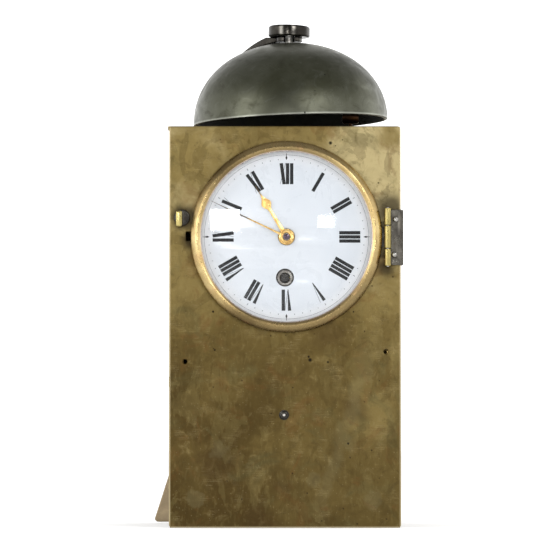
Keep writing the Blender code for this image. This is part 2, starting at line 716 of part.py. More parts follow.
def make_movement_frame():
    front_holes = [(BARREL, 1.95), (CENTRE, 1.25), (THIRD, 0.9), (FOURTH, 0.9), (ESCAPE, 0.9),
                   (PALLET, 0.9), (MINUTE, 1.1), (ALARM_SET, 1.35), (ALARM_BARREL, 1.4),
                   (ALARM_ESCAPE, 0.9), (HAMMER, 1.0), (CLICK, 0.9)]
    back_holes = [(BARREL, 1.5), (CENTRE, 1.25), (THIRD, 0.9), (FOURTH, 0.9), (ESCAPE, 0.9),
                  (PALLET, 0.9), (BALANCE, 2.4), (ALARM_SET, 1.35), (ALARM_BARREL, 1.9),
                  (ALARM_ESCAPE, 0.9), (HAMMER, 1.0), (RELEASE, 0.9)]
    for name, faces, holes in (("front", PLATE_F, front_holes), ("back", PLATE_B, back_holes)):
        loops = [rounded_rectangle(-PLATE_HALF_W, PLATE_Z[0], PLATE_HALF_W, PLATE_Z[1], 4.0)]
        loops += [circle(place, radius, 7) for place, radius in holes]
        loops += [circle(place, 2.05, 7) for place in PILLARS.values()]
        plate = flat(loops, faces[1] - faces[0], (0, sum(faces) / 2, 0))
        finish(plate, "movement_" + name + "_plate", "gear_brass")
    for name, place in PILLARS.items():
        pillar = arbor(place, (1.6, -42.9, PLATE_F[1] + GAP),
                       (2.6, PLATE_F[1] + GAP, PLATE_B[0] - GAP), (1.6, PLATE_B[0] - GAP, 13.0))
        finish(smooth(pillar), "movement_pillar_" + name, "gear_brass")


def make_seat():
    """The angle bracket that carries the movement, held by the screw in the front plate."""
    high = PLATE_Z[0] - GAP
    loop = [(SHEET_FRONT, 42.0), (SHEET_FRONT + 1.3, 42.0), (SHEET_FRONT + 1.3, high - 1.5),
            (13.0, high - 1.5), (13.0, high), (SHEET_FRONT, high)]
    seat = flat([loop], 40.0, (0, 0, 0), "side")
    cut(seat, rod(1.3, 40.0, 44.0, 8, (-0.4, 0, 48.5)))
    finish(seat, "movement_seat", "case_brass")
    screw = turned([(0, 46.2), (1.4, 46.2), (1.8, 45.8), (1.8, 45.3), (0.9, 45.3), (0.9, 40.6), (0, 40.6)],
                   16, (-0.4, 0, 48.5))
    finish(smooth(screw), "front_screw", "steel")


# ---- going train ----

def wheel_on_arbor(name, centre, steps, discs, look="gear_brass"):
    piece = arbor(centre, *steps)
    for loops, y_front, y_back in discs:
        join(piece, gear_disc(loops, y_front, y_back, centre))
    centred(piece, (centre[0], 0, centre[1]))
    return finish(piece, name, look)


def wheel_loops(teeth, module, phase, hub, rim, spokes, half_bar):
    return [gear_outline(teeth, module, phase)] + spoke_openings(hub, rim, spokes, half_bar)


def make_barrel():
    module = module_for(BARREL, CENTRE, GREAT_TEETH, CENTRE_LEAVES)
    front, web, rear = 35.2, 33.8, 20.6
    outer, inner, bore = 13.8, 12.6, 2.35
    drum = turned([(bore, web), (bore, front - 0.2), (4.0, front - 0.2), (4.0, web + 0.9),
                   (outer, web + 0.9), (outer, rear), (inner, rear), (inner, web)][::-1],
                  24, (BARREL[0], 0, BARREL[1]), "front", closed=True)
    teeth = gear_disc([gear_outline(GREAT_TEETH, module, 0.0), circle((0, 0), outer - 0.6, 24)],
                      -front, -web - 0.1, BARREL)
    join(drum, teeth)
    finish(centred(drum, (BARREL[0], 0, BARREL[1])), "going_barrel", "gear_brass")

    finish(spring_coil(3.2, 11.8, 3, 0.45, 11.5, BARREL, -27.2), "going_mainspring", "steel")

    square = rectangle(-1.5, -1.5, 1.5, 1.5)
    winder = arbor(BARREL, (1.6, -38.4, -35.6), (2.0, -35.6, 9.4), (1.2, 9.4, 12.4))
    join(winder, gear_disc([square], -42.2, -38.0, BARREL))
    finish(centred(winder, (BARREL[0], 0, BARREL[1])), "winding_arbor", "steel")

    ratchet = gear_disc([saw_outline(RATCHET_TEETH, 6.5, 5.5), circle((0, 0), 2.45, 12)],
                        -40.2, -39.0, BARREL)
    finish(centred(ratchet, (BARREL[0], 0, BARREL[1])), "ratchet_wheel", "steel")

    pointing = step(BARREL, 7.7, 60)
    click = gear_disc([slot_outline((0, 0), (pointing[0] - CLICK[0], pointing[1] - CLICK[1]), 0.9)],
                      -40.2, -39.2, CLICK)
    join(click, arbor(CLICK, (1.5, -40.6, -38.6), (0.6, -38.6, -36.6)))
    finish(centred(click, (CLICK[0], 0, CLICK[1])), "click", "steel")


def spring_coil(start, end, turns, thick, width, centre, middle_y, per_turn=12):
    """A flat spiral ribbon about an axis along Y."""
    count = turns * per_turn
    inside = []
    outside = []
    for k in range(count + 1):
        turn = TURN * k / per_turn
        radius = start + (end - start) * k / count
        inside.append(((radius - thick / 2) * math.cos(turn), (radius - thick / 2) * math.sin(turn)))
        outside.append(((radius + thick / 2) * math.cos(turn), (radius + thick / 2) * math.sin(turn)))
    coil = gear_disc([outside + inside[::-1]], middle_y - width / 2, middle_y + width / 2, centre)
    return centred(coil, (centre[0], 0, centre[1]))


def make_going_train():
    # centre arbor: pinion driven by the barrel, wheel driving the third pinion
    m_barrel = module_for(BARREL, CENTRE, GREAT_TEETH, CENTRE_LEAVES)
    m_centre = module_for(CENTRE, THIRD, CENTRE_TEETH, THIRD_LEAVES)
    m_third = module_for(THIRD, FOURTH, THIRD_TEETH, FOURTH_LEAVES)
    m_fourth = module_for(FOURTH, ESCAPE, FOURTH_TEETH, ESCAPE_LEAVES)

    leaves = pinion_outline(CENTRE_LEAVES, m_barrel,
                            mating_phase(GREAT_TEETH, 0.0, BARREL, CENTRE, CENTRE_LEAVES))
    wheel = wheel_loops(CENTRE_TEETH, m_centre, 0.0, 3.2, 9.6, 4, 0.8)
    wheel_on_arbor("centre_wheel", CENTRE,
                   [(0.7, -45.5, -38.5), (0.9, -38.5, -36.1), (1.2, -36.1, 9.7), (0.9, 9.7, 13.0),
                    (1.4, 13.0, 20.0)],
                   [([leaves], -35.8, -33.4), (wheel, -14.5, -13.3)])

    leaves = pinion_outline(THIRD_LEAVES, m_centre,
                            mating_phase(CENTRE_TEETH, 0.0, CENTRE, THIRD, THIRD_LEAVES))
    wheel = wheel_loops(THIRD_TEETH, m_third, 0.0, 2.6, 8.2, 4, 0.7)
    wheel_on_arbor("third_wheel", THIRD,
                   [(0.6, -37.8, -36.1), (0.8, -36.1, 9.7), (0.6, 9.7, 11.4)],
                   [([leaves], -15.8, -12.0), (wheel, -6.0, -4.9)])

    leaves = pinion_outline(FOURTH_LEAVES, m_third,
                            mating_phase(THIRD_TEETH, 0.0, THIRD, FOURTH, FOURTH_LEAVES))
    wheel = wheel_loops(FOURTH_TEETH, m_fourth, 0.0, 2.4, 7.4, 4, 0.6)
    wheel_on_arbor("fourth_wheel", FOURTH,
                   [(0.6, -37.8, -36.1), (0.7, -36.1, 9.7), (0.6, 9.7, 11.4)],
                   [([leaves], -7.2, -3.8), (wheel, 0.5, 1.5)])

    leaves = pinion_outline(ESCAPE_LEAVES, m_fourth,
                            mating_phase(FOURTH_TEETH, 0.0, FOURTH, ESCAPE, ESCAPE_LEAVES))
    wheel = [saw_outline(ESCAPE_TEETH, 5.4, 4.0)]
    wheel_on_arbor("escape_wheel", ESCAPE,
                   [(0.6, -37.8, -36.1), (0.6, -36.1, 11.4)],
                   [([leaves], -0.4, 2.4), (wheel, 4.6, 5.5)])


def make_motion_work():
    m_first = module_for(CENTRE, MINUTE, CANNON_LEAVES, MINUTE_TEETH)
    m_second = module_for(MINUTE, CENTRE, MINUTE_LEAVES, HOUR_TEETH)
    spot = (CENTRE[0], 0, CENTRE[1])

    leaves = gear_disc([pinion_outline(CANNON_LEAVES, m_first, 0.0), circle((0, 0), 1.0, 12)],
                       -40.1, -38.4, CENTRE)
    pipe = tube(1.5, 1.0, 39.0, 45.4, 14, spot)
    finish(centred(join(pipe, leaves), spot), "cannon_pinion", "steel")

    wheel = gear_outline(MINUTE_TEETH, m_first,
                         mating_phase(CANNON_LEAVES, 0.0, CENTRE, MINUTE, MINUTE_TEETH))
    wheel_on_arbor("minute_wheel", MINUTE, [(0.8, -42.1, -36.6)],
                   [([wheel], -39.8, -38.6),
                    ([pinion_outline(MINUTE_LEAVES, m_second, 0.0)], -42.1, -40.3)])

    hour = gear_disc([gear_outline(HOUR_TEETH, m_second,
                                   mating_phase(MINUTE_LEAVES, 0.0, MINUTE, CENTRE, HOUR_TEETH)),
                      circle((0, 0), 1.8, 14)], -41.9, -40.8, CENTRE)
    pipe = tube(2.4, 1.8, 41.2, 44.7, 16, spot)
    finish(centred(join(pipe, hour), spot), "hour_wheel", "gear_brass")


def make_escapement():
    """Lever escapement, drawn with its pallets and fork held clear of the wheel and roller."""
    back_to_wheel = math.atan2(ESCAPE[1] - PALLET[1], ESCAPE[0] - PALLET[0])
    reach = 5.0
    spread = math.radians(62)
    tips = []
    for side in (-1, 1):
        turn = back_to_wheel + side * spread
        tips.append((reach * math.cos(turn), reach * math.sin(turn)))
    fork = (3.9 * math.cos(back_to_wheel + math.pi), 3.9 * math.sin(back_to_wheel + math.pi))
    lever = arbor(PALLET, (0.6, -37.8, 11.4))
    for end in tips + [fork]:
        join(lever, gear_disc([slot_outline((0, 0), end, 0.55)], 4.7, 5.6, PALLET))
    finish(centred(lever, (PALLET[0], 0, PALLET[1])), "pallet_lever", "steel")

    rim = [circle((0, 0), 8.6, 24)] + spoke_openings(1.9, 7.6, 3, 0.5)
    wheel_on_arbor("balance_wheel", BALANCE, [(1.8, 4.6, 5.6), (0.7, 5.6, 19.0), (0.4, 19.0, 20.8)],
                   [(rim, 13.4, 14.6)], "bright_brass")
    finish(spring_coil(1.6, 5.4, 3, 0.25, 0.5, BALANCE, 16.4), "hairspring", "steel")

    foot = step(BALANCE, 13.5, 200)
    cock = gear_disc([slot_outline((0, 0), (foot[0] - BALANCE[0], foot[1] - BALANCE[1]), 3.0),
                      circle((0, 0), 0.75, 10)], 19.4, 20.8, BALANCE)
    join(cock, rod(2.8, -20.0, -(PLATE_B[1] + GAP), 14, (foot[0], 0, foot[1])))
    finish(cock, "balance_cock", "gear_brass")


# ---- alarm ----

def make_alarm():
    module = module_for(ALARM_BARREL, ALARM_ESCAPE, ALARM_TEETH, ALARM_LEAVES)
    spot = (ALARM_BARREL[0], 0, ALARM_BARREL[1])
    front, web, rear = 24.2, 22.8, 9.6
    outer, inner, bore = 10.2, 9.2, 2.05
    drum = turned([(bore, web), (bore, front - 0.2), (4.0, front - 0.2), (4.0, web + 0.9),
                   (outer, web + 0.9), (outer, rear), (inner, rear), (inner, web)][::-1],
                  20, spot, "front", closed=True)
    teeth = gear_disc([gear_outline(ALARM_TEETH, module, 0.0), circle((0, 0), outer - 0.6, 20)],
                      -front, -web - 0.1, ALARM_BARREL)
    join(drum, teeth)
    finish(centred(drum, spot), "alarm_barrel", "gear_brass")
    winder = arbor(ALARM_BARREL, (1.1, -38.4, -36.1), (1.7, -36.1, 9.7), (1.5, 9.7, 22.0))
    join(winder, gear_disc([slot_outline((-5.0, 0), (5.0, 0), 3.2)], 22.0, 23.6, ALARM_BARREL))
    finish(centred(winder, spot), "alarm_winding_arbor", "steel")

    leaves = pinion_outline(ALARM_LEAVES, module,
                            mating_phase(ALARM_TEETH, 0.0, ALARM_BARREL, ALARM_ESCAPE, ALARM_LEAVES))
    wheel_on_arbor("alarm_escape_wheel", ALARM_ESCAPE,
                   [(0.6, -37.8, -36.1), (0.8, -36.1, 9.7), (0.6, 9.7, 11.4)],
                   [([leaves], -24.6, -22.4), ([saw_outline(14, 6.4, 4.9)], 3.4, 4.4)])

    make_hammer()
    m_second = module_for(MINUTE, CENTRE, MINUTE_LEAVES, HOUR_TEETH)
    wheel = gear_outline(HOUR_TEETH, m_second,
                         mating_phase(MINUTE_LEAVES, 0.0, MINUTE, ALARM_SET, HOUR_TEETH))
    wheel_on_arbor("alarm_setting_wheel", ALARM_SET,
                   [(1.0, -41.9, 18.0), (6.5, 18.0, 23.0)],
                   [([wheel], -41.9, -40.8), ([slot_outline((0, 0), (3.6, 0), 1.8)], 5.0, 6.5)])

    catch = (31.0, 2.2)
    lever = gear_disc([slot_outline((0, 0), catch, 1.3)], 5.2, 6.3, RELEASE)
    join(lever, gear_disc([slot_outline((0, 0), (-3.6, 13.0), 1.2)], 5.15, 6.35, RELEASE),
         arbor(RELEASE, (2.0, 4.7, 7.2), (0.6, 7.2, 11.4)))
    finish(centred(lever, (RELEASE[0], 0, RELEASE[1])), "alarm_release_lever", "steel")


def make_hammer():
    hammer = arbor(HAMMER, (0.7, -37.8, -36.1), (1.1, -36.1, 9.7), (0.7, 9.7, 11.4))
    down = (ALARM_ESCAPE[0] - HAMMER[0], ALARM_ESCAPE[1] - HAMMER[1])
    heading = math.atan2(down[1], down[0])
    for side in (-1, 1):
        turn = heading + side * math.radians(42)
        join(hammer, gear_disc([slot_outline((0, 0), (8.4 * math.cos(turn), 8.4 * math.sin(turn)), 0.7)],
                               3.3, 4.5, HAMMER))
    join(hammer, rod(0.8, HAMMER[1], HAMMER_HEAD_Z, 10, (HAMMER[0], HAMMER_Y, 0), "up"),
         turned([(0, 3.6), (2.6, 3.6), (3.2, 2.8), (3.2, -2.8), (2.6, -3.6), (0, -3.6)], 16,
                (HAMMER[0], HAMMER_Y, HAMMER_HEAD_Z), "right"))
    finish(centred(hammer, (HAMMER[0], 0, HAMMER[1])), "hammer", "copper_bronze")


make_front_plate()
make_decks()
make_posts()
make_side_sheets()
make_back()
make_prop()
make_bell()
make_strap()
make_bezel()
make_bezel_hinge()
make_latch()
make_dial()
make_hands()
make_movement_frame()
make_seat()
make_barrel()
make_going_train()
make_motion_work()
make_escapement()
make_alarm()
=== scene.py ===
"""The looks of the travel alarm clock: finer skins for its visible pieces, and aged metals for all of them.

Sizes below are millimetres, as in the part's own source; MM turns them into metres. Places are read
from the frame, whose dial faces -Y and whose base stands on z = 0.
"""

import math

import bmesh
import bpy
from mathutils import Matrix, Vector, noise


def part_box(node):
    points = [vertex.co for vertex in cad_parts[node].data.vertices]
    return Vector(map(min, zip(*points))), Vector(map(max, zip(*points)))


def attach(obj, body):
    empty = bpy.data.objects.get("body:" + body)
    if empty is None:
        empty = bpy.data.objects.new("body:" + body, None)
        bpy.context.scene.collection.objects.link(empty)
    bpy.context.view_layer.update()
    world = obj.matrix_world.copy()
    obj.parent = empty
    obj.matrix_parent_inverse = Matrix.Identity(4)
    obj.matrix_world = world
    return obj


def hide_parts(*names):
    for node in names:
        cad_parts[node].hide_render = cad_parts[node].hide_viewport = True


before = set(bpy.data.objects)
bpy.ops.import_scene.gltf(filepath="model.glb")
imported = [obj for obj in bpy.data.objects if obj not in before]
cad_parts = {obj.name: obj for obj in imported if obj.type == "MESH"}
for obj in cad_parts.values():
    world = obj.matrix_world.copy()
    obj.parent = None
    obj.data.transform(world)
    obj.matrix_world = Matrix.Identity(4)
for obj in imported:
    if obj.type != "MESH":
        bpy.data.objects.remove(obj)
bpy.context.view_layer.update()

MM = 0.001
TURN = 2.0 * math.pi
FINE = 128                      # sides of the large round pieces
COARSE = 40                     # sides of the small round pieces


# ---- places, read from the frame ----

def span(node):
    """Lowest and highest corners of a node, in millimetres."""
    low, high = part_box(node)
    return low / MM, high / MM


def middle(node):
    low, high = span(node)
    return (low + high) / 2


PLATE_LOW, PLATE_HIGH = span("front_plate")
FACE = PLATE_LOW.y
WIDTH = PLATE_HIGH.x
HEIGHT = PLATE_HIGH.z
FACE_T = PLATE_HIGH.y - FACE

GLASS_LOW, GLASS_HIGH = span("dial_glass")
DIAL = (GLASS_LOW + GLASS_HIGH) / 2
GLASS_R = (GLASS_HIGH.x - GLASS_LOW.x) / 2
OPENING_R = GLASS_R + 0.25
BEZEL_R = GLASS_R + 3.05
BEZEL_IN_R = GLASS_R - 1.5
BEZEL_FRONT = span("bezel")[0].y
DIAL_FACE = span("dial")[0].y
DIAL_R = GLASS_R - 0.05
WINDING = middle("winding_arbor")
WINDING_HOLE_R = 3.75

HINGE = middle("bezel_hinge_pin")
HINGE_LOW = span("bezel_hinge_leaf")[0].z
HINGE_HIGH = span("bezel_hinge_leaf")[1].z
HINGE_MID = (HINGE_LOW + HINGE_HIGH) / 2
HINGE_R = 1.45
KNUCKLE_HALF = 5.0              # half the height of the bezel's knuckle, with its gaps
KNUCKLE_GAP = 0.15
RIVETS = ("hinge_rivet_upper", "hinge_rivet_lower")
LATCH = middle("latch_disc")
SCREW = middle("front_screw")

NUT_LOW, NUT_HIGH = span("bell_nut")
BELL_X = (NUT_LOW.x + NUT_HIGH.x) / 2
NUT_R = (NUT_HIGH.x - NUT_LOW.x) / 2
BELL_SHIFT = 0.65
BELL_RIM_Z = 178.7
BELL_R = 43.1
BELL_H = 35.3
BELL_T = 1.8
BELL_TILT = math.radians(2.25)
NUT_TILT = math.radians(1.6)
NUT_LIFT = 0.6                  # the worn nut stands a little above its nominal place
STRAP_LOW, STRAP_HIGH = span("bell_strap")
STRAP_T = 1.9
STRAP_W = 10.0
STRAP_Z = STRAP_HIGH.z - STRAP_T + 0.8
STRAP_ROOT = 1.7                # extra thickness of the band beside the nut
STRAP_HEAD_R = 5.8
FORK_HALF = 2.35

DIAL_AXIS = (DIAL.x, 0, DIAL.z)
HINGE_AXIS = (HINGE.x, HINGE.y, 0)
SCREW_AXIS = (SCREW.x, 0, SCREW.z)
BELL_AXIS = (BELL_X, 0, 0)

HOUR_ANGLE = math.radians(328.6)
MINUTE_ANGLE = math.radians(295.5)
HOUR_BACK = 44.0                # how far in front of y = 0 each hand's flat back lies
MINUTE_BACK = 44.9
NUMERAL_BASE = 22.8             # distances of the numerals' feet and heads from the dial's centre
NUMERAL_TOP = 31.9


# ---- nodes ----

def srgb(red, green, blue):
    """A colour as seen, 0 to 255, turned into the linear values that shaders use."""
    return tuple(((c / 255 + 0.055) / 1.055) ** 2.4 if c > 10 else c / 255 / 12.92
                 for c in (red, green, blue))


def metal(share):
    """Turns colours as they look in a bright room into a metal's own, dimmer by a share."""
    return lambda red, green, blue: tuple(c * share for c in srgb(red, green, blue))


class Paint:
    """A material under construction: short calls that add nodes to a Principled shader."""

    def __init__(self, name, metallic, **fixed):
        self.material = bpy.data.materials.new(name)
        self.material.use_nodes = True
        self.tree = self.material.node_tree
        self.shader = self.tree.nodes["Principled BSDF"]
        self.shader.inputs["Metallic"].default_value = metallic
        for socket, value in fixed.items():
            self.shader.inputs[socket.replace("_", " ")].default_value = value
        self.place = self.add("TexCoord").outputs["Object"]
        axes = self.add("SeparateXYZ", Vector=self.place).outputs
        self.x, self.y, self.z = axes["X"], axes["Y"], axes["Z"]

    def add(self, kind, settings=None, **sockets):
        made = self.tree.nodes.new("ShaderNode" + kind)
        for key, value in (settings or {}).items():
            setattr(made, key, value)
        for key, value in sockets.items():
            self.feed(made.inputs[key], value)
        return made

    def feed(self, socket, value):
        if isinstance(value, bpy.types.NodeSocket):
            self.tree.links.new(value, socket)
        else:
            socket.default_value = value

    def math(self, operation, first, second=0.0, clamp=False):
        made = self.add("Math", {"operation": operation, "use_clamp": clamp})
        self.feed(made.inputs[0], first)
        self.feed(made.inputs[1], second)
        return made.outputs[0]

    def plus(self, first, second, clamp=False):
        return self.math("ADD", first, second, clamp)

    def minus(self, first, second, clamp=False):
        return self.math("SUBTRACT", first, second, clamp)

    def times(self, first, second):
        return self.math("MULTIPLY", first, second)

    def span(self, value, low, high, to_low=0.0, to_high=1.0):
        """Maps low..high to to_low..to_high with soft ends."""
        made = self.add("MapRange", {"interpolation_type": "SMOOTHSTEP"}, Value=value)
        for socket, number in (("From Min", low), ("From Max", high),
                               ("To Min", to_low), ("To Max", to_high)):
            made.inputs[socket].default_value = number
        return made.outputs["Result"]

    def noise(self, size, detail=4.0, rough=0.55, stretch=(1, 1, 1), turn=(0, 0, 0), warp=0.0):
        """Noise whose features are about `size` millimetres across."""
        mapped = self.add("Mapping", Vector=self.place)
        mapped.inputs["Rotation"].default_value = turn
        mapped.inputs["Scale"].default_value = stretch
        made = self.add("TexNoise", Vector=mapped.outputs["Vector"])
        made.inputs["Scale"].default_value = 1.0 / (size * MM)
        made.inputs["Detail"].default_value = detail
        made.inputs["Roughness"].default_value = rough
        made.inputs["Distortion"].default_value = warp
        return made.outputs["Fac"]

    def scratches(self, length, width, turn, amount):
        """Thin lines along one heading: the middle level of a stretched noise."""
        field = self.noise(length, 1.0, 0.4, (1, length / width, length / width), turn)
        away = self.math("ABSOLUTE", self.minus(field, 0.5))
        line = self.span(away, 0.0, 0.012, 1.0, 0.0)
        patch = self.span(self.noise(9.0, 2.0), 0.72 - amount, 0.82 - amount)
        return self.times(line, patch)

    def pits(self, spacing, share, size):
        """Scattered round marks: the cores of some cells."""
        cells = self.add("TexVoronoi", Vector=self.place)
        cells.inputs["Scale"].default_value = 1.0 / (spacing * MM)
        core = self.span(cells.outputs["Distance"], size * 0.5, size, 1.0, 0.0)
        chosen = self.add("SeparateXYZ", Vector=cells.outputs["Color"]).outputs["X"]
        return self.times(core, self.math("LESS_THAN", chosen, share))

    def offset(self, x, z):
        """How far a point lies from a place of the front: across, up and straight."""
        across = self.minus(self.x, x * MM)
        up = self.minus(self.z, z * MM)
        squares = self.plus(self.times(across, across), self.times(up, up))
        return across, up, self.math("SQRT", squares)

    def spot(self, x, z, radius, soft=0.5, wobble=0.0):
        """1 around a place of the front, fading to 0 at the radius."""
        away = self.offset(x, z)[2]
        if wobble:
            shift = self.times(self.minus(self.noise(6.0), 0.5), wobble * MM * 2)
            away = self.plus(away, shift)
        return self.span(away, radius * MM * (1 - soft), radius * MM, 1.0, 0.0)

    def spots(self, *places):
        """The strongest of several spots, each given as for `spot`."""
        return self.strongest(*[self.spot(*place) for place in places])

    def streak(self, start, end, half):
        """1 along a line on the front, fading to 0 at half its width, with ragged sides."""
        heading = Vector(end) - Vector(start)
        aside = Vector((-heading.y, heading.x)).normalized()
        offset = aside.dot(Vector(start))
        across = self.plus(self.times(self.x, aside.x), self.times(self.z, aside.y))
        shift = self.times(self.minus(self.noise(12.0), 0.5), 14.0 * MM)
        away = self.math("ABSOLUTE", self.plus(self.minus(across, offset * MM), shift))
        middle_of_line = (Vector(start) + Vector(end)) / 2
        near = self.spot(middle_of_line.x, middle_of_line.y, heading.length * 0.6, 0.6)
        return self.times(self.span(away, half * MM * 0.3, half * MM, 1.0, 0.0), near)

    def mix(self, factor, first, second):
        made = self.add("Mix", {"data_type": "RGBA"})
        self.feed(made.inputs[0], factor)
        for socket, value in ((made.inputs[6], first), (made.inputs[7], second)):
            self.feed(socket, value if isinstance(value, bpy.types.NodeSocket) else (*value, 1.0))
        return made.outputs[2]

    def strongest(self, *masks):
        result = masks[0]
        for mask in masks[1:]:
            result = self.math("MAXIMUM", result, mask)
        return result

    def base(self, factor, first, second):
        """The ground colour, between two."""
        self.colour = self.mix(factor, first, second)

    def coat(self, mask, colour):
        """Lays a colour over what is there, as strongly as the mask says."""
        self.colour = self.mix(mask, self.colour, colour)

    def film(self, field, low, high, share, colour):
        """A coat that grows from nothing to its share as the field goes from low to high."""
        self.coat(self.span(field, low, high, 0.0, share), colour)

    def done(self, roughness, height=None, depth=0.05):
        """Links colour, roughness and a bump whose height is `depth` millimetres."""
        self.feed(self.shader.inputs["Base Color"], self.colour)
        self.feed(self.shader.inputs["Roughness"], roughness)
        if height is not None:
            bump = self.add("Bump", Height=height)
            bump.inputs["Strength"].default_value = 1.0
            bump.inputs["Distance"].default_value = depth * MM
            self.tree.links.new(bump.outputs["Normal"], self.shader.inputs["Normal"])
        return self.material


# ---- materials ----

def case_brass(name, front=False, share=0.58, dust=0.0):
    """Old sheet brass, mottled, scratched and pitted, with painted light and shade: lighter and tan towards
    the top and right, darker and olive brown below and under the bell.
    """
    p = Paint(name, 0.9)
    tint = metal(share)
    aged = 1.25 if front else 1.0
    # painted light and shade: the tone rises towards the top and the right and falls towards the bottom
    rise = p.span(p.z, 0.34 * HEIGHT * MM, 0.92 * HEIGHT * MM, 0.0, 0.62)
    foot = p.span(p.z, 0.0, 0.45 * HEIGHT * MM, -0.12, 0.0)
    side = p.span(p.x, -WIDTH * MM, WIDTH * MM, -0.10, 0.14)
    # painted shade under the bell at the top middle, then lighter and darker patches of painted light and
    # shade at listed places
    shade = p.times(p.spot(DIAL.x - 8.0, HEIGHT + 10.0, 46.0, 0.9), -0.42)
    for x, z, radius, change in ((-46.0, 158.0, 20.0, -0.20), (14.0, 171.0, 22.0, -0.16),
                                 (46.0, 170.0, 11.0, -0.34), (-42.0, 101.0, 22.0, 0.24),
                                 (34.0, 46.0, 22.0, 0.16), (-30.0, 38.0, 16.0, -0.12),
                                 (-10.0, 18.0, 18.0, 0.10)):
        shade = p.plus(shade, p.times(p.spot(x, z, radius, 0.9, 3.0), change))
    cloud = p.minus(p.noise(24.0, 5.0, 0.6, warp=0.5), 0.5)
    tone = p.plus(p.plus(rise, foot), p.plus(side, shade))
    tone = p.plus(p.plus(tone, 0.26), p.times(cloud, 0.75))
    # the tone, painted light and shade plus a random cloud, picks the colour from olive brown to light tan
    p.base(p.span(tone, 0.0, 0.34), tint(88, 70, 33), tint(117, 98, 53))
    p.coat(p.span(tone, 0.34, 0.62), tint(150, 130, 78))
    p.coat(p.span(tone, 0.62, 1.0), tint(212, 194, 142))
    mottle = p.noise(5.0, 8.0, 0.66, warp=0.6)
    p.film(mottle, 0.52, 0.72, 0.42, tint(84, 66, 34))
    p.film(mottle, 0.46, 0.28, 0.34, tint(164, 146, 98))
    red = p.noise(15.0, 5.0, 0.6, warp=0.8)
    p.film(red, 0.55, 0.66, 0.28 * aged, tint(124, 86, 44))
    olive = p.noise(19.0, 5.0, 0.6, turn=(0.4, 0.9, 0.2), warp=0.9)
    p.film(olive, 0.54, 0.70, 0.42, tint(104, 98, 62))
    wipes = p.noise(10.0, 5.0, 0.6, (1.0, 1.0, 0.45), (0.0, 0.50, 0.0), 0.6)
    p.film(wipes, 0.55, 0.58, 0.20 * aged, tint(140, 124, 76))
    dried = p.noise(16.0, 6.0, 0.6, (1.0, 1.0, 0.7), (0.0, -0.6, 0.3), 0.8)
    p.film(dried, 0.56, 0.58, 0.22 * aged, tint(86, 70, 34))
    brushed = p.noise(1.4, 3.0, 0.6, (1.0, 1.0, 0.3))
    p.film(brushed, 0.50, 0.80, 0.16, tint(176, 156, 100))
    lines = p.strongest(p.scratches(40.0, 0.35, (0.0, 0.9, 0.0), 0.20),
                        p.scratches(26.0, 0.30, (0.0, -0.5, 0.0), 0.17),
                        p.scratches(34.0, 0.28, (0.0, 1.9, 0.0), 0.16))
    p.coat(p.times(lines, 0.40), tint(186, 168, 122))
    specks = p.pits(3.1, 0.10, 0.16)
    grains = p.pits(1.3, 0.22, 0.25)
    p.coat(p.times(specks, 0.7), tint(48, 36, 20))
    p.coat(p.times(grains, 0.20), tint(190, 172, 126))
    dark = specks
    if front:
        marks_and_painted_light = front_marks_and_painted_light(p)
        p.coat(p.times(marks_and_painted_light["dull"], 0.45), tint(84, 64, 34))
        p.coat(p.times(marks_and_painted_light["pale"], 0.22), tint(146, 136, 98))
        # painted shade round the hinge, the latch and the catch notch
        p.coat(p.times(marks_and_painted_light["painted_shade_round_fittings"], 0.80), tint(44, 36, 26))
        p.coat(p.times(marks_and_painted_light["holes"], 0.95), tint(26, 20, 12))
        # painted highlight along the rounded side and bottom edges
        p.coat(p.times(marks_and_painted_light["edge"], 0.60), tint(232, 214, 168))
        dark = p.strongest(specks, marks_and_painted_light["holes"])
    # a pale grey coat, partly dust and partly painted light
    if dust:
        p.coat(dust, tint(150, 136, 114))
    rough = p.span(mottle, 0.3, 0.7, 0.34, 0.50)
    rough = p.plus(rough, p.times(p.noise(1.2, 3.0), 0.10))
    rough = p.minus(rough, p.times(lines, 0.12), True)
    height = p.plus(p.times(p.noise(0.8, 4.0), 0.35), p.times(p.noise(14.0, 2.0), 1.6))
    height = p.minus(height, p.plus(p.times(lines, 0.5), p.times(dark, 2.2)))
    return p.done(rough, height, 0.035)


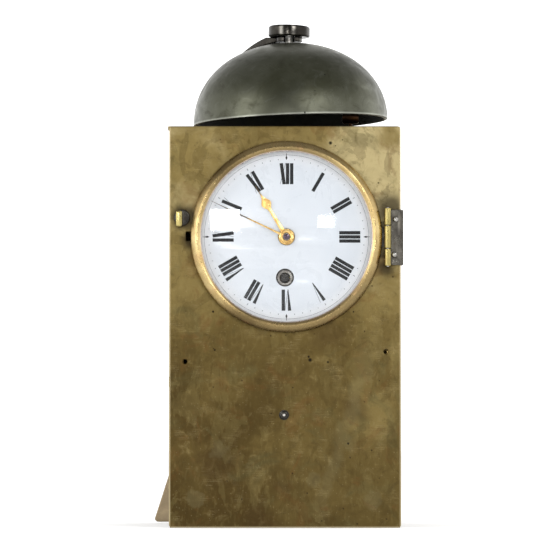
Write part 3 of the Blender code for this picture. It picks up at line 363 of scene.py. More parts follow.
def front_marks_and_painted_light(p):
    """Marks that belong to known places of the front: painted shade round the hinge, latch and notch, dents,
    rings, dull patches, and painted highlights along the edges.
    """
    ring = p.minus(p.spot(26.7, 37.5, 2.2, 0.3), p.spot(26.7, 37.5, 1.3, 0.4), True)
    # painted shade: dark patches round the hinge, the latch and the catch notch, where the raised fittings
    # and gaps are in shade
    painted_shade_round_fittings = p.spots((HINGE.x + 1.0, HINGE_HIGH, 9.5, 0.70, 2.0),
                   (HINGE.x - 2.2, HINGE_HIGH - 8.0, 4.0, 0.6, 1.0),
                   (HINGE.x - 2.2, HINGE_LOW + 6.0, 4.0, 0.6, 1.0),
                   (HINGE.x - 1.0, HINGE_LOW - 1.0, 6.0, 0.8, 2.0),
                   (LATCH.x + 1.0, LATCH.z + 0.5, 7.5, 0.60, 2.0),
                   (-40.5, 124.0, 5.5, 0.7, 2.0))
    dull = p.spots((-12.0, 3.5, 9.0, 0.8, 5.0), (-1.3, 17.7, 5.0, 0.8, 4.0), (18.0, 84.0, 11.0, 0.8, 6.0),
                   (-30.0, 28.0, 13.0, 0.9, 8.0), (30.0, 52.0, 9.0, 0.8, 5.0))
    pale = p.spots((-39.0, 12.0, 4.5, 0.35, 3.0), (38.0, 12.0, 4.5, 0.35, 3.0), (-28.0, 34.0, 5.0, 0.8, 8.0),
                   (13.0, 21.0, 3.5, 0.6, 6.0), (26.0, 36.0, 6.5, 0.8, 6.0))
    band = p.streak((36.0, 78.0), (14.0, 2.0), 5.0)
    pale = p.strongest(pale, ring, p.times(band, 0.9))
    dents = ((-30.3, 76.5, 0.8), (10.8, 72.2, 1.1), (18.5, 71.3, 0.9), (19.7, 166.0, 1.1),
             (10.2, 73.6, 0.6), (29.5, 93.0, 0.6), (-31.0, 93.0, 0.5), (27.2, 36.2, 0.7))
    holes = p.spots(*[(*dent, 0.7, 0.5) for dent in dents])
    # painted highlight: pale along the rounded side and bottom edges
    painted_highlight_side = p.span(p.math("ABSOLUTE", p.x), (WIDTH - 0.9) * MM, (WIDTH - 0.3) * MM)
    edge = p.strongest(painted_highlight_side, p.span(p.z, 0.9 * MM, 0.3 * MM))
    return {"painted_shade_round_fittings": painted_shade_round_fittings, "dull": dull, "pale": pale, "holes": holes, "edge": edge}


def bright_brass(name, share=0.74, green=0.0, bezel=False):
    """Polished brass with dull tarnish spots; on the bezel, painted shade at its top, bottom and two more
    places, and a painted highlight round its inner lip.
    """
    p = Paint(name, 1.0)
    tint = metal(share)
    cloud = p.noise(13.0, 5.0, 0.6, warp=0.8)
    p.base(p.span(cloud, 0.34, 0.66), tint(228, 204, 146), tint(204, 176, 120))
    if bezel:
        across, up, away = p.offset(DIAL.x, DIAL.z)
        lean = math.radians(18.0)
        along = p.minus(p.times(up, math.cos(lean)), p.times(across, math.sin(lean)))
        # painted shade at the bezel's top and bottom, leaning a little round
        crown = p.span(p.math("ABSOLUTE", along), GLASS_R * 0.36 * MM, GLASS_R * 0.84 * MM)
        crown = p.times(crown, p.span(cloud, 0.25, 0.6, 1.0, 0.80))
        p.coat(p.times(crown, 0.92), tint(142, 121, 82))
        # painted shade at two more places round the bezel
        for clockwise in (208.0, 318.0):
            turn = math.radians(clockwise)
            dull = p.spot(DIAL.x + BEZEL_R * math.sin(turn), DIAL.z + BEZEL_R * math.cos(turn), 15.0, 0.9)
            p.coat(p.times(dull, 0.6), tint(92, 76, 48))
        # painted highlight: a pale line round the bezel's inner lip
        lip = p.span(away, (BEZEL_IN_R + 0.55) * MM, (BEZEL_IN_R + 0.35) * MM)
        p.coat(p.times(lip, 0.8), tint(232, 216, 208))
    if green:
        p.coat(green, tint(188, 184, 96))
    spots = p.noise(3.0, 7.0, 0.66, warp=0.6)
    p.film(spots, 0.56, 0.76, 0.40, tint(130, 104, 62))
    pink = p.noise(9.0, 3.0, 0.5, turn=(0.8, 0.1, 0.5))
    p.film(pink, 0.58, 0.72, 0.30, tint(200, 150, 108))
    lines = p.scratches(14.0, 0.16, (0.3, 1.1, 0.2), 0.22)
    p.coat(p.times(lines, 0.3), tint(240, 220, 160))
    rough = p.plus(p.span(spots, 0.3, 0.7, 0.22, 0.36), p.times(lines, -0.06), True)
    height = p.minus(p.times(p.noise(3.5, 3.0), 0.6), p.times(lines, 0.4))
    return p.done(rough, height, 0.012)


def gear_brass(name, share=0.72):
    """Lacquered movement brass: even, finely grained, a little browned."""
    p = Paint(name, 1.0)
    tint = metal(share)
    cloud = p.noise(14.0, 4.0, 0.6, warp=0.5)
    p.base(p.span(cloud, 0.30, 0.72), tint(212, 182, 116), tint(190, 158, 96))
    film = p.noise(2.2, 6.0, 0.7)
    p.film(film, 0.55, 0.80, 0.30, tint(126, 96, 56))
    grain = p.noise(1.2, 2.0, 0.5, (0.2, 1.0, 4.0))
    rough = p.plus(p.span(cloud, 0.3, 0.7, 0.24, 0.38), p.times(grain, 0.08))
    return p.done(rough, p.plus(p.times(grain, 0.5), film), 0.01)


def bell_bronze(name, share=0.62):
    """Dark grey-green bell metal with small pits, and painted light: paler towards the rim and at the top,
    with a painted highlight along the rim's edge.
    """
    p = Paint(name, 0.92)
    tint = metal(share)
    cloud = p.noise(22.0, 5.0, 0.6, warp=0.5)
    p.base(p.span(cloud, 0.34, 0.66), tint(74, 75, 56), tint(96, 97, 82))
    # painted light: paler towards the rim
    rim = p.span(p.z, (BELL_RIM_Z + BELL_H * 0.55) * MM, (BELL_RIM_Z - 1.0) * MM)
    p.coat(p.times(rim, 0.55), tint(110, 111, 98))
    film = p.noise(7.0, 7.0, 0.65, warp=0.8)
    p.film(film, 0.50, 0.72, 0.50, tint(58, 56, 40))
    p.film(film, 0.46, 0.30, 0.35, tint(126, 128, 116))
    # painted light: paler at the top
    crown = p.span(p.z, (BELL_RIM_Z + BELL_H * 0.72) * MM, (BELL_RIM_Z + BELL_H) * MM)
    p.coat(p.times(crown, 0.8), tint(150, 150, 134))
    # painted highlight: a bright line along the tilted rim's edge
    lean = p.times(p.minus(p.x, (BELL_X + BELL_SHIFT) * MM), math.tan(BELL_TILT))
    level = p.minus(p.z, lean)
    worn = p.span(level, (BELL_RIM_Z + 1.0) * MM, (BELL_RIM_Z + 0.2) * MM)
    worn = p.times(worn, p.span(cloud, 0.30, 0.55, 0.4, 1.0))
    p.coat(p.times(worn, 0.6), tint(196, 198, 186))
    specks = p.pits(4.2, 0.16, 0.13)
    rust = p.pits(7.0, 0.10, 0.11)
    p.coat(p.times(specks, 0.8), tint(20, 20, 14))
    p.coat(p.times(rust, 0.5), tint(122, 98, 58))
    lines = p.strongest(p.scratches(22.0, 0.22, (0.2, 0.3, 0.7), 0.19),
                        p.scratches(15.0, 0.18, (0.9, -0.4, 0.1), 0.16))
    p.coat(p.times(lines, 0.3), tint(170, 172, 160))
    rough = p.plus(p.span(film, 0.3, 0.7, 0.26, 0.42), p.times(cloud, 0.06))
    height = p.plus(p.times(p.noise(1.1, 4.0), 0.3), p.times(p.noise(12.0, 2.0), 2.0))
    height = p.minus(height, p.plus(p.times(lines, 0.3), p.times(specks, 3.0)))
    return p.done(rough, height, 0.03)


def dark_steel(name, share=0.6, gloss=0.30, rubbed=()):
    """Steel under an old brown-black film, bright again along its streaks, with painted highlights as
    upright bands at given places.
    """
    p = Paint(name, 0.95)
    tint = metal(share)
    cloud = p.noise(7.0, 5.0, 0.6, warp=0.6)
    p.base(p.span(cloud, 0.35, 0.68), tint(88, 84, 78), tint(122, 118, 108))
    rust = p.noise(2.6, 7.0, 0.66)
    p.film(rust, 0.56, 0.74, 0.5, tint(92, 68, 48))
    streaks = p.noise(3.4, 3.0, 0.5, (1.0, 1.0, 0.16))
    p.film(streaks, 0.56, 0.70, 0.45, tint(160, 155, 146))
    lines = p.scratches(8.0, 0.16, (0.0, 0.8, 0.0), 0.20)
    p.coat(p.times(lines, 0.5), tint(190, 186, 176))
    # painted highlights: bright upright bands at the given places across
    for x in rubbed:
        away = p.math("ABSOLUTE", p.minus(p.x, x * MM))
        p.coat(p.span(away, 0.2 * MM, 1.3 * MM, 0.9, 0.0), tint(250, 244, 232))
    rough = p.span(rust, 0.3, 0.7, gloss - 0.06, gloss + 0.10)
    height = p.minus(rust, p.times(lines, 0.6))
    return p.done(rough, height, 0.02)


def steel(name, share=0.8, metallic=1.0):
    """Bare steel with a fine grain and a little rust."""
    p = Paint(name, metallic)
    tint = metal(share)
    cloud = p.noise(3.0, 5.0, 0.6)
    p.base(p.span(cloud, 0.35, 0.7), tint(188, 186, 180), tint(138, 134, 128))
    rust = p.noise(1.4, 6.0, 0.7)
    p.film(rust, 0.58, 0.76, 0.5, srgb(104, 78, 54))
    grain = p.noise(0.8, 2.0, 0.5, (1.0, 0.15, 1.0))
    rough = p.plus(p.span(cloud, 0.3, 0.7, 0.18, 0.32), p.times(grain, 0.08))
    return p.done(rough, p.plus(rust, p.times(grain, 0.4)), 0.01)


def enamel(name):
    """White dial enamel, faintly blue, with a soft orange-peel gloss and a few specks."""
    p = Paint(name, 0.0, Coat_Weight=0.12, Coat_Roughness=0.10)
    cloud = p.noise(30.0, 3.0, 0.5)
    p.base(p.span(cloud, 0.35, 0.7), srgb(214, 219, 225), srgb(207, 213, 220))
    # painted light: the enamel is lighter towards its edge, to cancel the bezel's shadow there
    rim = p.span(p.offset(DIAL.x, DIAL.z)[2], DIAL_R * 0.80 * MM, DIAL_R * 0.97 * MM)
    p.coat(rim, srgb(238, 240, 243))
    p.coat(p.times(p.pits(4.5, 0.07, 0.07), 0.5), srgb(150, 150, 150))
    stain = p.noise(12.0, 6.0, 0.65, warp=1.0)
    p.film(stain, 0.60, 0.78, 0.10, srgb(200, 198, 190))
    rough = p.span(stain, 0.3, 0.7, 0.24, 0.34)
    return p.done(rough, p.noise(6.0, 2.0), 0.004)


def clear_glass(name):
    """A clear pane: each face mirrors by its Fresnel share and lets the rest through."""
    p = Paint(name, 1.0)
    p.shader.inputs["Base Color"].default_value = (0.96, 0.98, 1.0, 1.0)
    film = p.noise(14.0, 5.0, 0.6, warp=1.0)
    marks = p.scratches(18.0, 0.10, (0.0, 0.6, 0.0), 0.14)
    gloss = p.add("Fresnel").outputs["Fac"]
    haze = p.plus(p.span(film, 0.45, 0.8, 0.0, 0.005), p.times(marks, 0.01))
    p.feed(p.shader.inputs["Alpha"], p.plus(p.times(gloss, 0.40), haze, True))
    p.feed(p.shader.inputs["Roughness"], p.span(film, 0.4, 0.8, 0.012, 0.06))
    return p.material


def gilt(name, tip=None):
    """Gilt brass of the hands, turning brown along the outer end where one is given."""
    p = Paint(name, 1.0)
    tint = metal(1.15)
    cloud = p.noise(2.5, 5.0, 0.6)
    p.base(p.span(cloud, 0.35, 0.7), tint(232, 196, 126), tint(192, 150, 84))
    if tip is not None:
        away = p.offset(DIAL.x, DIAL.z)[2]
        p.coat(p.span(away, tip * MM, (tip + 2.5) * MM, 0.0, 0.85), tint(60, 50, 42))
    return p.done(p.span(cloud, 0.3, 0.7, 0.20, 0.36), cloud, 0.015)


def clouded(name, metallic, cloud, edges, light, dark, shine, depth, **fixed):
    """A material between two colours, as its cloud goes from one edge value to the other."""
    p = Paint(name, metallic, **fixed)
    field = p.noise(*cloud)
    p.base(p.span(field, *edges), light, dark)
    return p.done(p.span(field, 0.3, 0.7, *shine), field, depth)


# painted shade: the hammer's bronze is made dark, as it sits in shade under the bell
PAINTED_SHADE_BRONZE = metal(0.30)
RECIPES = {
    "case_brass": (case_brass, {}),
    # painted light: the prop's copy of the case brass is made about twice as bright, as it stands in the
    # case's shade
    "prop_brass": (case_brass, {"share": 1.15, "dust": 0.6}),
    "front_brass": (case_brass, {"front": True}),
    "bright_brass": (bright_brass, {}),
    "bezel_brass": (bright_brass, {"bezel": True}),
    "knuckle_brass": (bright_brass, {"share": 0.58, "green": 0.40}),
    "gear_brass": (gear_brass, {}),
    # painted shade: the movement's front plate, seen through the winding hole, is made near black
    "tarnished_brass": (gear_brass, {"share": 0.03}),
    "bell_bronze": (bell_bronze, {}),
    # painted shade: the dark inside of the bell
    "bell_inside": (clouded, {"metallic": 0.55, "cloud": (9.0, 6.0, 0.65), "edges": (0.35, 0.7),
                              "light": srgb(34, 36, 34), "dark": srgb(58, 58, 50),
                              "shine": (0.45, 0.65), "depth": 0.03}),
    "dark_steel": (dark_steel, {}),
    "black_steel": (dark_steel, {"share": 0.26, "gloss": 0.22}),
    # painted highlights: two bright upright bands on the nut
    "nut_steel": (dark_steel, {"share": 0.18, "gloss": 0.14, "rubbed": (BELL_X - 3.4, BELL_X + 1.8)}),
    "steel": (steel, {}),
    # painted shade: the winding arbor deep in its hole is made dark
    "dim_steel": (steel, {"share": 0.09}),
    # painted light: steel made brighter than bare steel, for the shaded bell stud and the screw's middle
    "pale_steel": (steel, {"share": 1.6, "metallic": 0.6}),
    "blued_steel": (clouded, {"metallic": 1.0, "cloud": (1.2, 4.0, 0.6), "edges": (0.35, 0.7),
                              "light": srgb(118, 100, 116), "dark": srgb(62, 52, 62),
                              "shine": (0.16, 0.3), "depth": 0.01}),
    "enamel": (enamel, {}),
    "black_enamel": (clouded, {"metallic": 0.0, "cloud": (0.9, 5.0, 0.7), "edges": (0.50, 0.78),
                               "light": srgb(4, 7, 10), "dark": srgb(28, 34, 38),
                               "shine": (0.22, 0.4), "depth": 0.01, "Specular_IOR_Level": 0.2}),
    "grey_enamel": (clouded, {"metallic": 0.0, "cloud": (1.6, 5.0, 0.7), "edges": (0.45, 0.75),
                              "light": srgb(104, 112, 120), "dark": srgb(188, 192, 198),
                              "shine": (0.25, 0.4), "depth": 0.01}),
    "clear_glass": (clear_glass, {}),
    "gilt": (gilt, {}),
    "hour_gilt": (gilt, {"tip": 20.6}),
    "minute_gilt": (gilt, {"tip": 17.0}),
    "copper_bronze": (clouded, {"metallic": 1.0, "cloud": (4.0, 5.0, 0.6), "edges": (0.35, 0.7),
                                "light": PAINTED_SHADE_BRONZE(138, 100, 74), "dark": PAINTED_SHADE_BRONZE(88, 62, 46),
                                "shine": (0.3, 0.48), "depth": 0.02}),
}
LOOKS = {name: make(name, **settings) for name, (make, settings) in RECIPES.items()}


# ---- outlines, as loops of (across, up) points ----

def circle(centre, radius, sides=COARSE):
    return [(centre[0] + radius * math.cos(TURN * k / sides),
             centre[1] + radius * math.sin(TURN * k / sides)) for k in range(sides)]


def rectangle(left, bottom, right, top):
    return [(left, bottom), (right, bottom), (right, top), (left, top)]


def soften(points, radius, steps=4, closed=True):
    """The same outline with its corners rounded, each by at most the radius."""
    made = []
    count = len(points)
    for k, point in enumerate(points):
        here = Vector(point)
        if not closed and k in (0, count - 1):
            made.append(tuple(here))
            continue
        before = Vector(points[k - 1]) - here
        after = Vector(points[(k + 1) % count]) - here
        reach = min(radius, before.length * 0.45, after.length * 0.45)
        start = here + before.normalized() * reach
        end = here + after.normalized() * reach
        for j in range(steps + 1):
            share = j / steps
            made.append(tuple(start.lerp(here, share).lerp(here.lerp(end, share), share)))
    return made


# ---- pieces ----

def piece(name, mesh, body, look, stands_for=(), crease=35.0):
    """Shows a mesh that rides on a body, in a material, in place of the nodes it stands for."""
    obj = bpy.data.objects.new(name, mesh)
    bpy.context.scene.collection.objects.link(obj)
    mesh.materials.clear()
    mesh.materials.append(LOOKS[look])
    mesh.shade_smooth()
    mesh.set_sharp_from_angle(angle=math.radians(crease))
    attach(obj, body)
    if stands_for:
        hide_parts(*stands_for)
    return obj


AXES = {"front": (Vector((1, 0, 0)), Vector((0, 0, 1)), Vector((0, -1, 0))),
        "back": (Vector((-1, 0, 0)), Vector((0, 0, 1)), Vector((0, 1, 0))),
        "up": (Vector((1, 0, 0)), Vector((0, 1, 0)), Vector((0, 0, 1))),
        "right": (Vector((0, 1, 0)), Vector((0, 0, 1)), Vector((1, 0, 0))),
        "left": (Vector((0, -1, 0)), Vector((0, 0, 1)), Vector((-1, 0, 0)))}


def turned(profile, centre, axis, sides=COARSE, closed=False):
    """A lathe skin through (radius, along) points; a closed profile makes a ring."""
    across, up, along = AXES[axis]
    work = bmesh.new()
    rings = []
    for radius, height in profile:
        foot = Vector(centre) + along * height
        if radius < 1e-6:
            rings.append([work.verts.new(foot * MM)])
            continue
        ring = []
        for k in range(sides):
            turn = TURN * k / sides
            outward = across * math.cos(turn) + up * math.sin(turn)
            ring.append(work.verts.new((foot + outward * radius) * MM))
        rings.append(ring)
    pairs = list(zip(rings, rings[1:]))
    if closed:
        pairs.append((rings[-1], rings[0]))
    for first, second in pairs:
        for k in range(sides):
            corners = [first[k % len(first)], first[(k + 1) % len(first)],
                       second[(k + 1) % len(second)], second[k % len(second)]]
            work.faces.new(list(dict.fromkeys(corners)))
    return mesh_from(work)


def lathe(profile, soft, centre, axis, sides=COARSE, steps=4):
    """A turned solid through an open profile, with its corners softened."""
    return turned(soften(profile, soft, steps, closed=False), centre, axis, sides)


def mesh_from(work):
    bmesh.ops.remove_doubles(work, verts=work.verts, dist=1e-7)
    bmesh.ops.recalc_face_normals(work, faces=work.faces)
    mesh = bpy.data.meshes.new("skin")
    work.to_mesh(mesh)
    work.free()
    return mesh


def sheet(loops, thickness, edge, centre, heading):
    """An upright flat sheet with holes and rounded edges; heading turns it about the vertical."""
    curve = bpy.data.curves.new("outline", "CURVE")
    curve.dimensions = "2D"
    curve.fill_mode = "BOTH"
    curve.extrude = (thickness / 2 - edge) * MM
    curve.bevel_depth = edge * MM
    curve.offset = -edge * MM
    curve.bevel_resolution = 2
    for loop in loops:
        spline = curve.splines.new("POLY")
        spline.points.add(len(loop) - 1)
        for point, (across, up) in zip(spline.points, loop):
            point.co = (across * MM, up * MM, 0.0, 1.0)
        spline.use_cyclic_u = True
    guide = bpy.data.objects.new("outline", curve)
    bpy.context.scene.collection.objects.link(guide)
    bpy.context.view_layer.update()
    flat = bpy.data.meshes.new_from_object(guide.evaluated_get(bpy.context.evaluated_depsgraph_get()))
    bpy.data.objects.remove(guide, do_unlink=True)
    work = bmesh.new()
    work.from_mesh(flat)
    bpy.data.meshes.remove(flat)
    upright = Matrix.Rotation(heading, 4, "Z") @ Matrix.Rotation(TURN / 4, 4, "X")
    work.transform(Matrix.Translation(Vector(centre) * MM) @ upright)
    return mesh_from(work)


FACING = {"front": 0.0, "side": TURN / 4}


def combined(*meshes):
    """Several skins as one mesh."""
    work = bmesh.new()
    for mesh in meshes:
        work.from_mesh(mesh)
        bpy.data.meshes.remove(mesh)
    made = bpy.data.meshes.new("skin")
    work.to_mesh(made)
    work.free()
    return made


def carved(mesh, cutter, operation="DIFFERENCE"):
    """The mesh after a boolean with another one."""
    target = bpy.data.objects.new("target", mesh)
    tool = bpy.data.objects.new("tool", cutter)
    for obj in (target, tool):
        bpy.context.scene.collection.objects.link(obj)
    modifier = target.modifiers.new("carve", "BOOLEAN")
    modifier.operation = operation
    modifier.object = tool
    bpy.context.view_layer.update()
    made = bpy.data.meshes.new_from_object(target.evaluated_get(bpy.context.evaluated_depsgraph_get()))
    for obj in (target, tool):
        old = obj.data
        bpy.data.objects.remove(obj, do_unlink=True)
        bpy.data.meshes.remove(old)
    return made


def block(low, high, edge=0.0):
    """A box between two corners, with rounded edges where asked."""
    work = bmesh.new()
    bmesh.ops.create_cube(work, size=1.0)
    size = Vector(high) - Vector(low)
    place = (Vector(high) + Vector(low)) / 2
    work.transform(Matrix.Translation(place * MM) @ Matrix.Diagonal((*(size * MM), 1.0)))
    if edge:
        bmesh.ops.bevel(work, geom=work.edges[:], offset=edge * MM, segments=3, profile=0.5,
                        affect="EDGES")
    return mesh_from(work)


def dented(mesh, size, depth, seed):
    """Moves a skin's points slightly in and out, as use has left it."""
    for vertex in mesh.vertices:
        drift = noise.noise(vertex.co / (size * MM) + Vector((seed, 0, 0)))
        vertex.co += vertex.normal * drift * depth * MM
    return mesh


# ---- the case ----

NOTCH = (-42.7, 123.7, -40.7, 127.6)           # left, bottom, right, top
OPEN_HOLES = ((43.5, 75.8), (-43.1, 71.5))
OPEN_HOLE_R = 0.95
STUD_HOLE_R = 1.3
RIVET_HOLE_R = 0.9
DOOR_T = 1.5
DOOR_PIN = 2.5                  # how far a door's pins reach past its sheet
KNOB_Z = 118.0


def rivet_holes():
    """Outlines of the two holes that the hinge rivets pass through."""
    return [circle((middle(name).x, middle(name).z), RIVET_HOLE_R, 20) for name in RIVETS]


def make_front():
    """The front plate: dial opening, catch notch, and holes for screw, latch, rivets and two lost parts."""
    centre = (DIAL.x, DIAL.z)
    outline = soften(rectangle(-WIDTH, 0, WIDTH, HEIGHT), 1.6, 6)
    loops = [outline, circle(centre, OPENING_R, FINE), soften(rectangle(*NOTCH), 0.4)]
    loops += [circle(place, OPEN_HOLE_R) for place in OPEN_HOLES]
    loops += [circle((stud.x, stud.z), STUD_HOLE_R) for stud in (SCREW, LATCH)]
    plate = sheet(loops + rivet_holes(), FACE_T, 0.45, (0, FACE + FACE_T / 2, 0), FACING["front"])
    piece("front_plate_skin", plate, "case", "front_brass", ["front_plate"])


def make_posts():
    """The four corner posts, turned thinner between their ends."""
    for name in ("front_left", "front_right", "rear_left", "rear_right"):
        low, high = span("case_post_" + name)
        radius = (high.x - low.x) / 2
        profile = [(0, low.z), (radius, low.z), (radius, low.z + 5), (radius * 0.68, low.z + 7),
                   (radius * 0.68, high.z - 7), (radius, high.z - 5), (radius, high.z), (0, high.z)]
        centre = ((low.x + high.x) / 2, (low.y + high.y) / 2, 0)
        piece("case_post_" + name + "_skin", lathe(profile, 0.4, centre, "up"),
              "case", "gear_brass", ["case_post_" + name])


def make_doors():
    """The side and back doors: sheets with rounded edges, round hinge edges and turned knobs."""
    low, high = span("side_door")
    pivot_y = low.y + DOOR_T / 2
    sheet_low = low.z + DOOR_PIN
    sheet_high = span("side_panel_right")[1].z
    x = low.x + 2.2 + DOOR_T / 2
    panel = sheet([soften(rectangle(pivot_y, sheet_low, high.y, sheet_high), 0.6)], DOOR_T, 0.3,
                  (x, 0, 0), FACING["side"])
    edge = turned(hinge_profile(low.z, sheet_low, sheet_high, high.z, DOOR_T / 2),
                  (x, pivot_y, 0), "up")
    piece("side_door_skin", combined(panel, edge), "side_door", "case_brass", ["side_door"])
    piece("side_door_knob", knob(2.0, 2.2, (x - DOOR_T / 2, 36.0, KNOB_Z), "left"),
          "side_door", "bright_brass")

    low, high = span("back_door")
    pivot_x = high.x - DOOR_T / 2
    sheet_low = low.z + DOOR_PIN
    y = high.y - 2.4 - DOOR_T / 2
    pivot_y = y + DOOR_T / 2 - 0.15
    panel = sheet([soften(rectangle(low.x, sheet_low, pivot_x, sheet_high), 0.6)], DOOR_T, 0.3,
                  (0, y, 0), FACING["front"])
    edge = turned(hinge_profile(low.z, sheet_low, sheet_high, high.z, DOOR_T / 2),
                  (pivot_x, pivot_y, 0), "up")
    piece("back_door_skin", combined(panel, edge), "back_door", "case_brass", ["back_door"])
    piece("back_door_knob", knob(2.2, 2.4, (-42.0, y + DOOR_T / 2, KNOB_Z), "back"),
          "back_door", "bright_brass")


def hinge_profile(pin_low, low, high, pin_high, radius):
    """The round hinge edge of a door, with a thinner pin at each end."""
    pin = 0.45
    return [(0, pin_low), (pin, pin_low), (pin, low), (radius, low), (radius, high), (pin, high),
            (pin, pin_high), (0, pin_high)]


def knob(radius, height, centre, axis):
    """A small turned pull with a waist and a domed face."""
    profile = [(0, -0.2), (radius * 0.8, -0.2), (radius * 0.62, height * 0.3), (radius, height * 0.55),
               (radius, height * 0.8), (radius * 0.6, height * 0.96), (0, height)]
    return lathe(profile, 0.35, centre, axis)


# ---- bell ----

def dome(inset, points=40):
    """The bell's curve from the crown hole to the rim, moved in from its outside."""
    wide = BELL_R - inset
    high = BELL_H - inset
    start = math.asin(3.0 / wide)
    curve = []
    for k in range(points + 1):
        turn = start + (TURN / 4 - start) * k / points
        curve.append((wide * math.sin(turn) ** 0.96, high * math.cos(turn) ** 0.96))
    return curve


def make_bell():
    """The bell: one shell of even thickness, tilted, with painted shade on its inside."""
    centre = Vector((BELL_X + BELL_SHIFT, 0, BELL_RIM_Z))
    outside = dome(0.0)
    lip = [(BELL_R - 0.1, -0.05), (BELL_R - 0.45, -0.2), (BELL_R - BELL_T + 0.45, -0.2)]
    inside = dome(BELL_T)[::-1]
    tilt = Matrix.Translation(centre * MM) @ Matrix.Rotation(-BELL_TILT, 4, "Y")
    shell = turned(outside + lip + inside, (0, 0, 0), "up", FINE, closed=True)
    shell.transform(tilt)
    dented(shell, 17.0, 0.16, 3.0)
    piece("bell_skin", shell, "case", "bell_bronze", ["bell"], 60)
    shell.materials.append(LOOKS["bell_inside"])
    middle_of_bell = tilt.translation
    for face in shell.polygons:
        outward = face.center - middle_of_bell
        if face.normal.dot(outward) < 0 and face.center.z > (BELL_RIM_Z - 3.0) * MM:
            face.material_index = 1


def make_bell_fittings():
    """The plain round nut and the stud that it turns on."""
    top = NUT_HIGH.z + NUT_LIFT
    low = NUT_LOW.z + NUT_LIFT - 0.2
    profile = [(0, top - 0.9), (2.0, top - 0.9), (2.4, top), (NUT_R - 0.7, top), (NUT_R, top - 0.7),
               (NUT_R, low + 0.5), (NUT_R - 0.5, low), (2.35, low), (2.35, top - 1.2), (0, top - 1.2)]
    heart = Vector((BELL_X, 0, (top + low) / 2))
    nut = lathe(profile, 0.35, BELL_AXIS, "up", 96)
    nut.transform(Matrix.Translation(heart * MM) @ Matrix.Rotation(NUT_TILT, 4, "Y")
                  @ Matrix.Translation(-heart * MM))
    piece("bell_nut_skin", dented(nut, 3.0, 0.05, 9.0), "case", "nut_steel", ["bell_nut"])

    end = span("bell_stud")[1].z
    foot = span("bell_stud")[0].z
    profile = [(0, foot), (5.0, foot), (5.0, foot + 1.6), (2.0, foot + 2.1), (2.0, low - 2.9),
               (1.85, low - 2.7), (1.85, end), (0, end)]
    # painted light: the stud is made pale so that it shows bright in the nut's shade
    piece("bell_stud_skin", lathe(profile, 0.3, BELL_AXIS, "up"),
          "case", "pale_steel", ["bell_stud"])


def make_strap():
    """The band over the bell's rear left flank, forked at its top so that it slips round the stud."""
    standoff = 2.2
    wide = BELL_R + standoff
    high = STRAP_Z - BELL_RIM_Z
    outer = []
    inner = []
    for k in range(25):
        turn = math.radians(12 + 3.15 * k)
        extra = STRAP_ROOT * math.cos(turn) ** 8
        inner.append((wide * math.sin(turn), BELL_RIM_Z + high * math.cos(turn)))
        outer.append(((wide + STRAP_T) * math.sin(turn),
                      BELL_RIM_Z + (high + STRAP_T) * math.cos(turn) + extra))
    foot = STRAP_LOW.z
    side = inner[-1][0]
    loop = [(3.5, STRAP_Z + STRAP_T)] + outer
    loop += soften([(side + STRAP_T, foot + STRAP_T), (side + 11.5, foot + STRAP_T),
                    (side + 11.5, foot), (side, foot)], 0.5, 2)
    loop += inner[::-1] + [(3.5, STRAP_Z)]
    band = sheet([loop], STRAP_W, 0.45, BELL_AXIS, math.radians(135))
    head = [(0, STRAP_Z), (STRAP_HEAD_R, STRAP_Z), (STRAP_HEAD_R, STRAP_Z + STRAP_T), (0, STRAP_Z + STRAP_T)]
    eye = lathe(head, 0.3, BELL_AXIS, "up", 64)
    strap = carved(eye, band, "UNION")
    below = STRAP_Z - 2.0
    above = STRAP_Z + 4.0
    strap = carved(strap, turned([(0, below), (FORK_HALF, below), (FORK_HALF, above), (0, above)],
                                 BELL_AXIS, "up"))
    strap = carved(strap, block((BELL_X - FORK_HALF, -STRAP_W, below), (BELL_X + FORK_HALF, 0, above)))
    screw = middle("strap_screw")
    strap = carved(strap, turned([(0, foot - 1), (1.2, foot - 1), (1.2, foot + 4), (0, foot + 4)],
                                 (screw.x, screw.y, 0), "up"))
    piece("bell_strap_skin", strap, "case", "black_steel", ["bell_strap"])

    low, high = span("strap_screw")
    head = slotted([(0, high.z), (1.7, high.z), (2.4, high.z - 0.6), (2.4, high.z - 1.6),
                    (0.9, high.z - 1.6), (0.9, low.z), (0, low.z)], (screw.x, screw.y, 0), "up",
                   block((screw.x - 4, screw.y - 0.3, high.z - 0.7),
                         (screw.x + 4, screw.y + 0.3, high.z + 1)))
    piece("strap_screw_skin", head, "case", "steel", ["strap_screw"])


def slotted(profile, centre, axis, cutter):
    """A turned screw with a driver's slot."""
    return carved(lathe(profile, 0.25, centre, axis, steps=3), cutter)


# ---- bezel, glass, hinge and latch ----

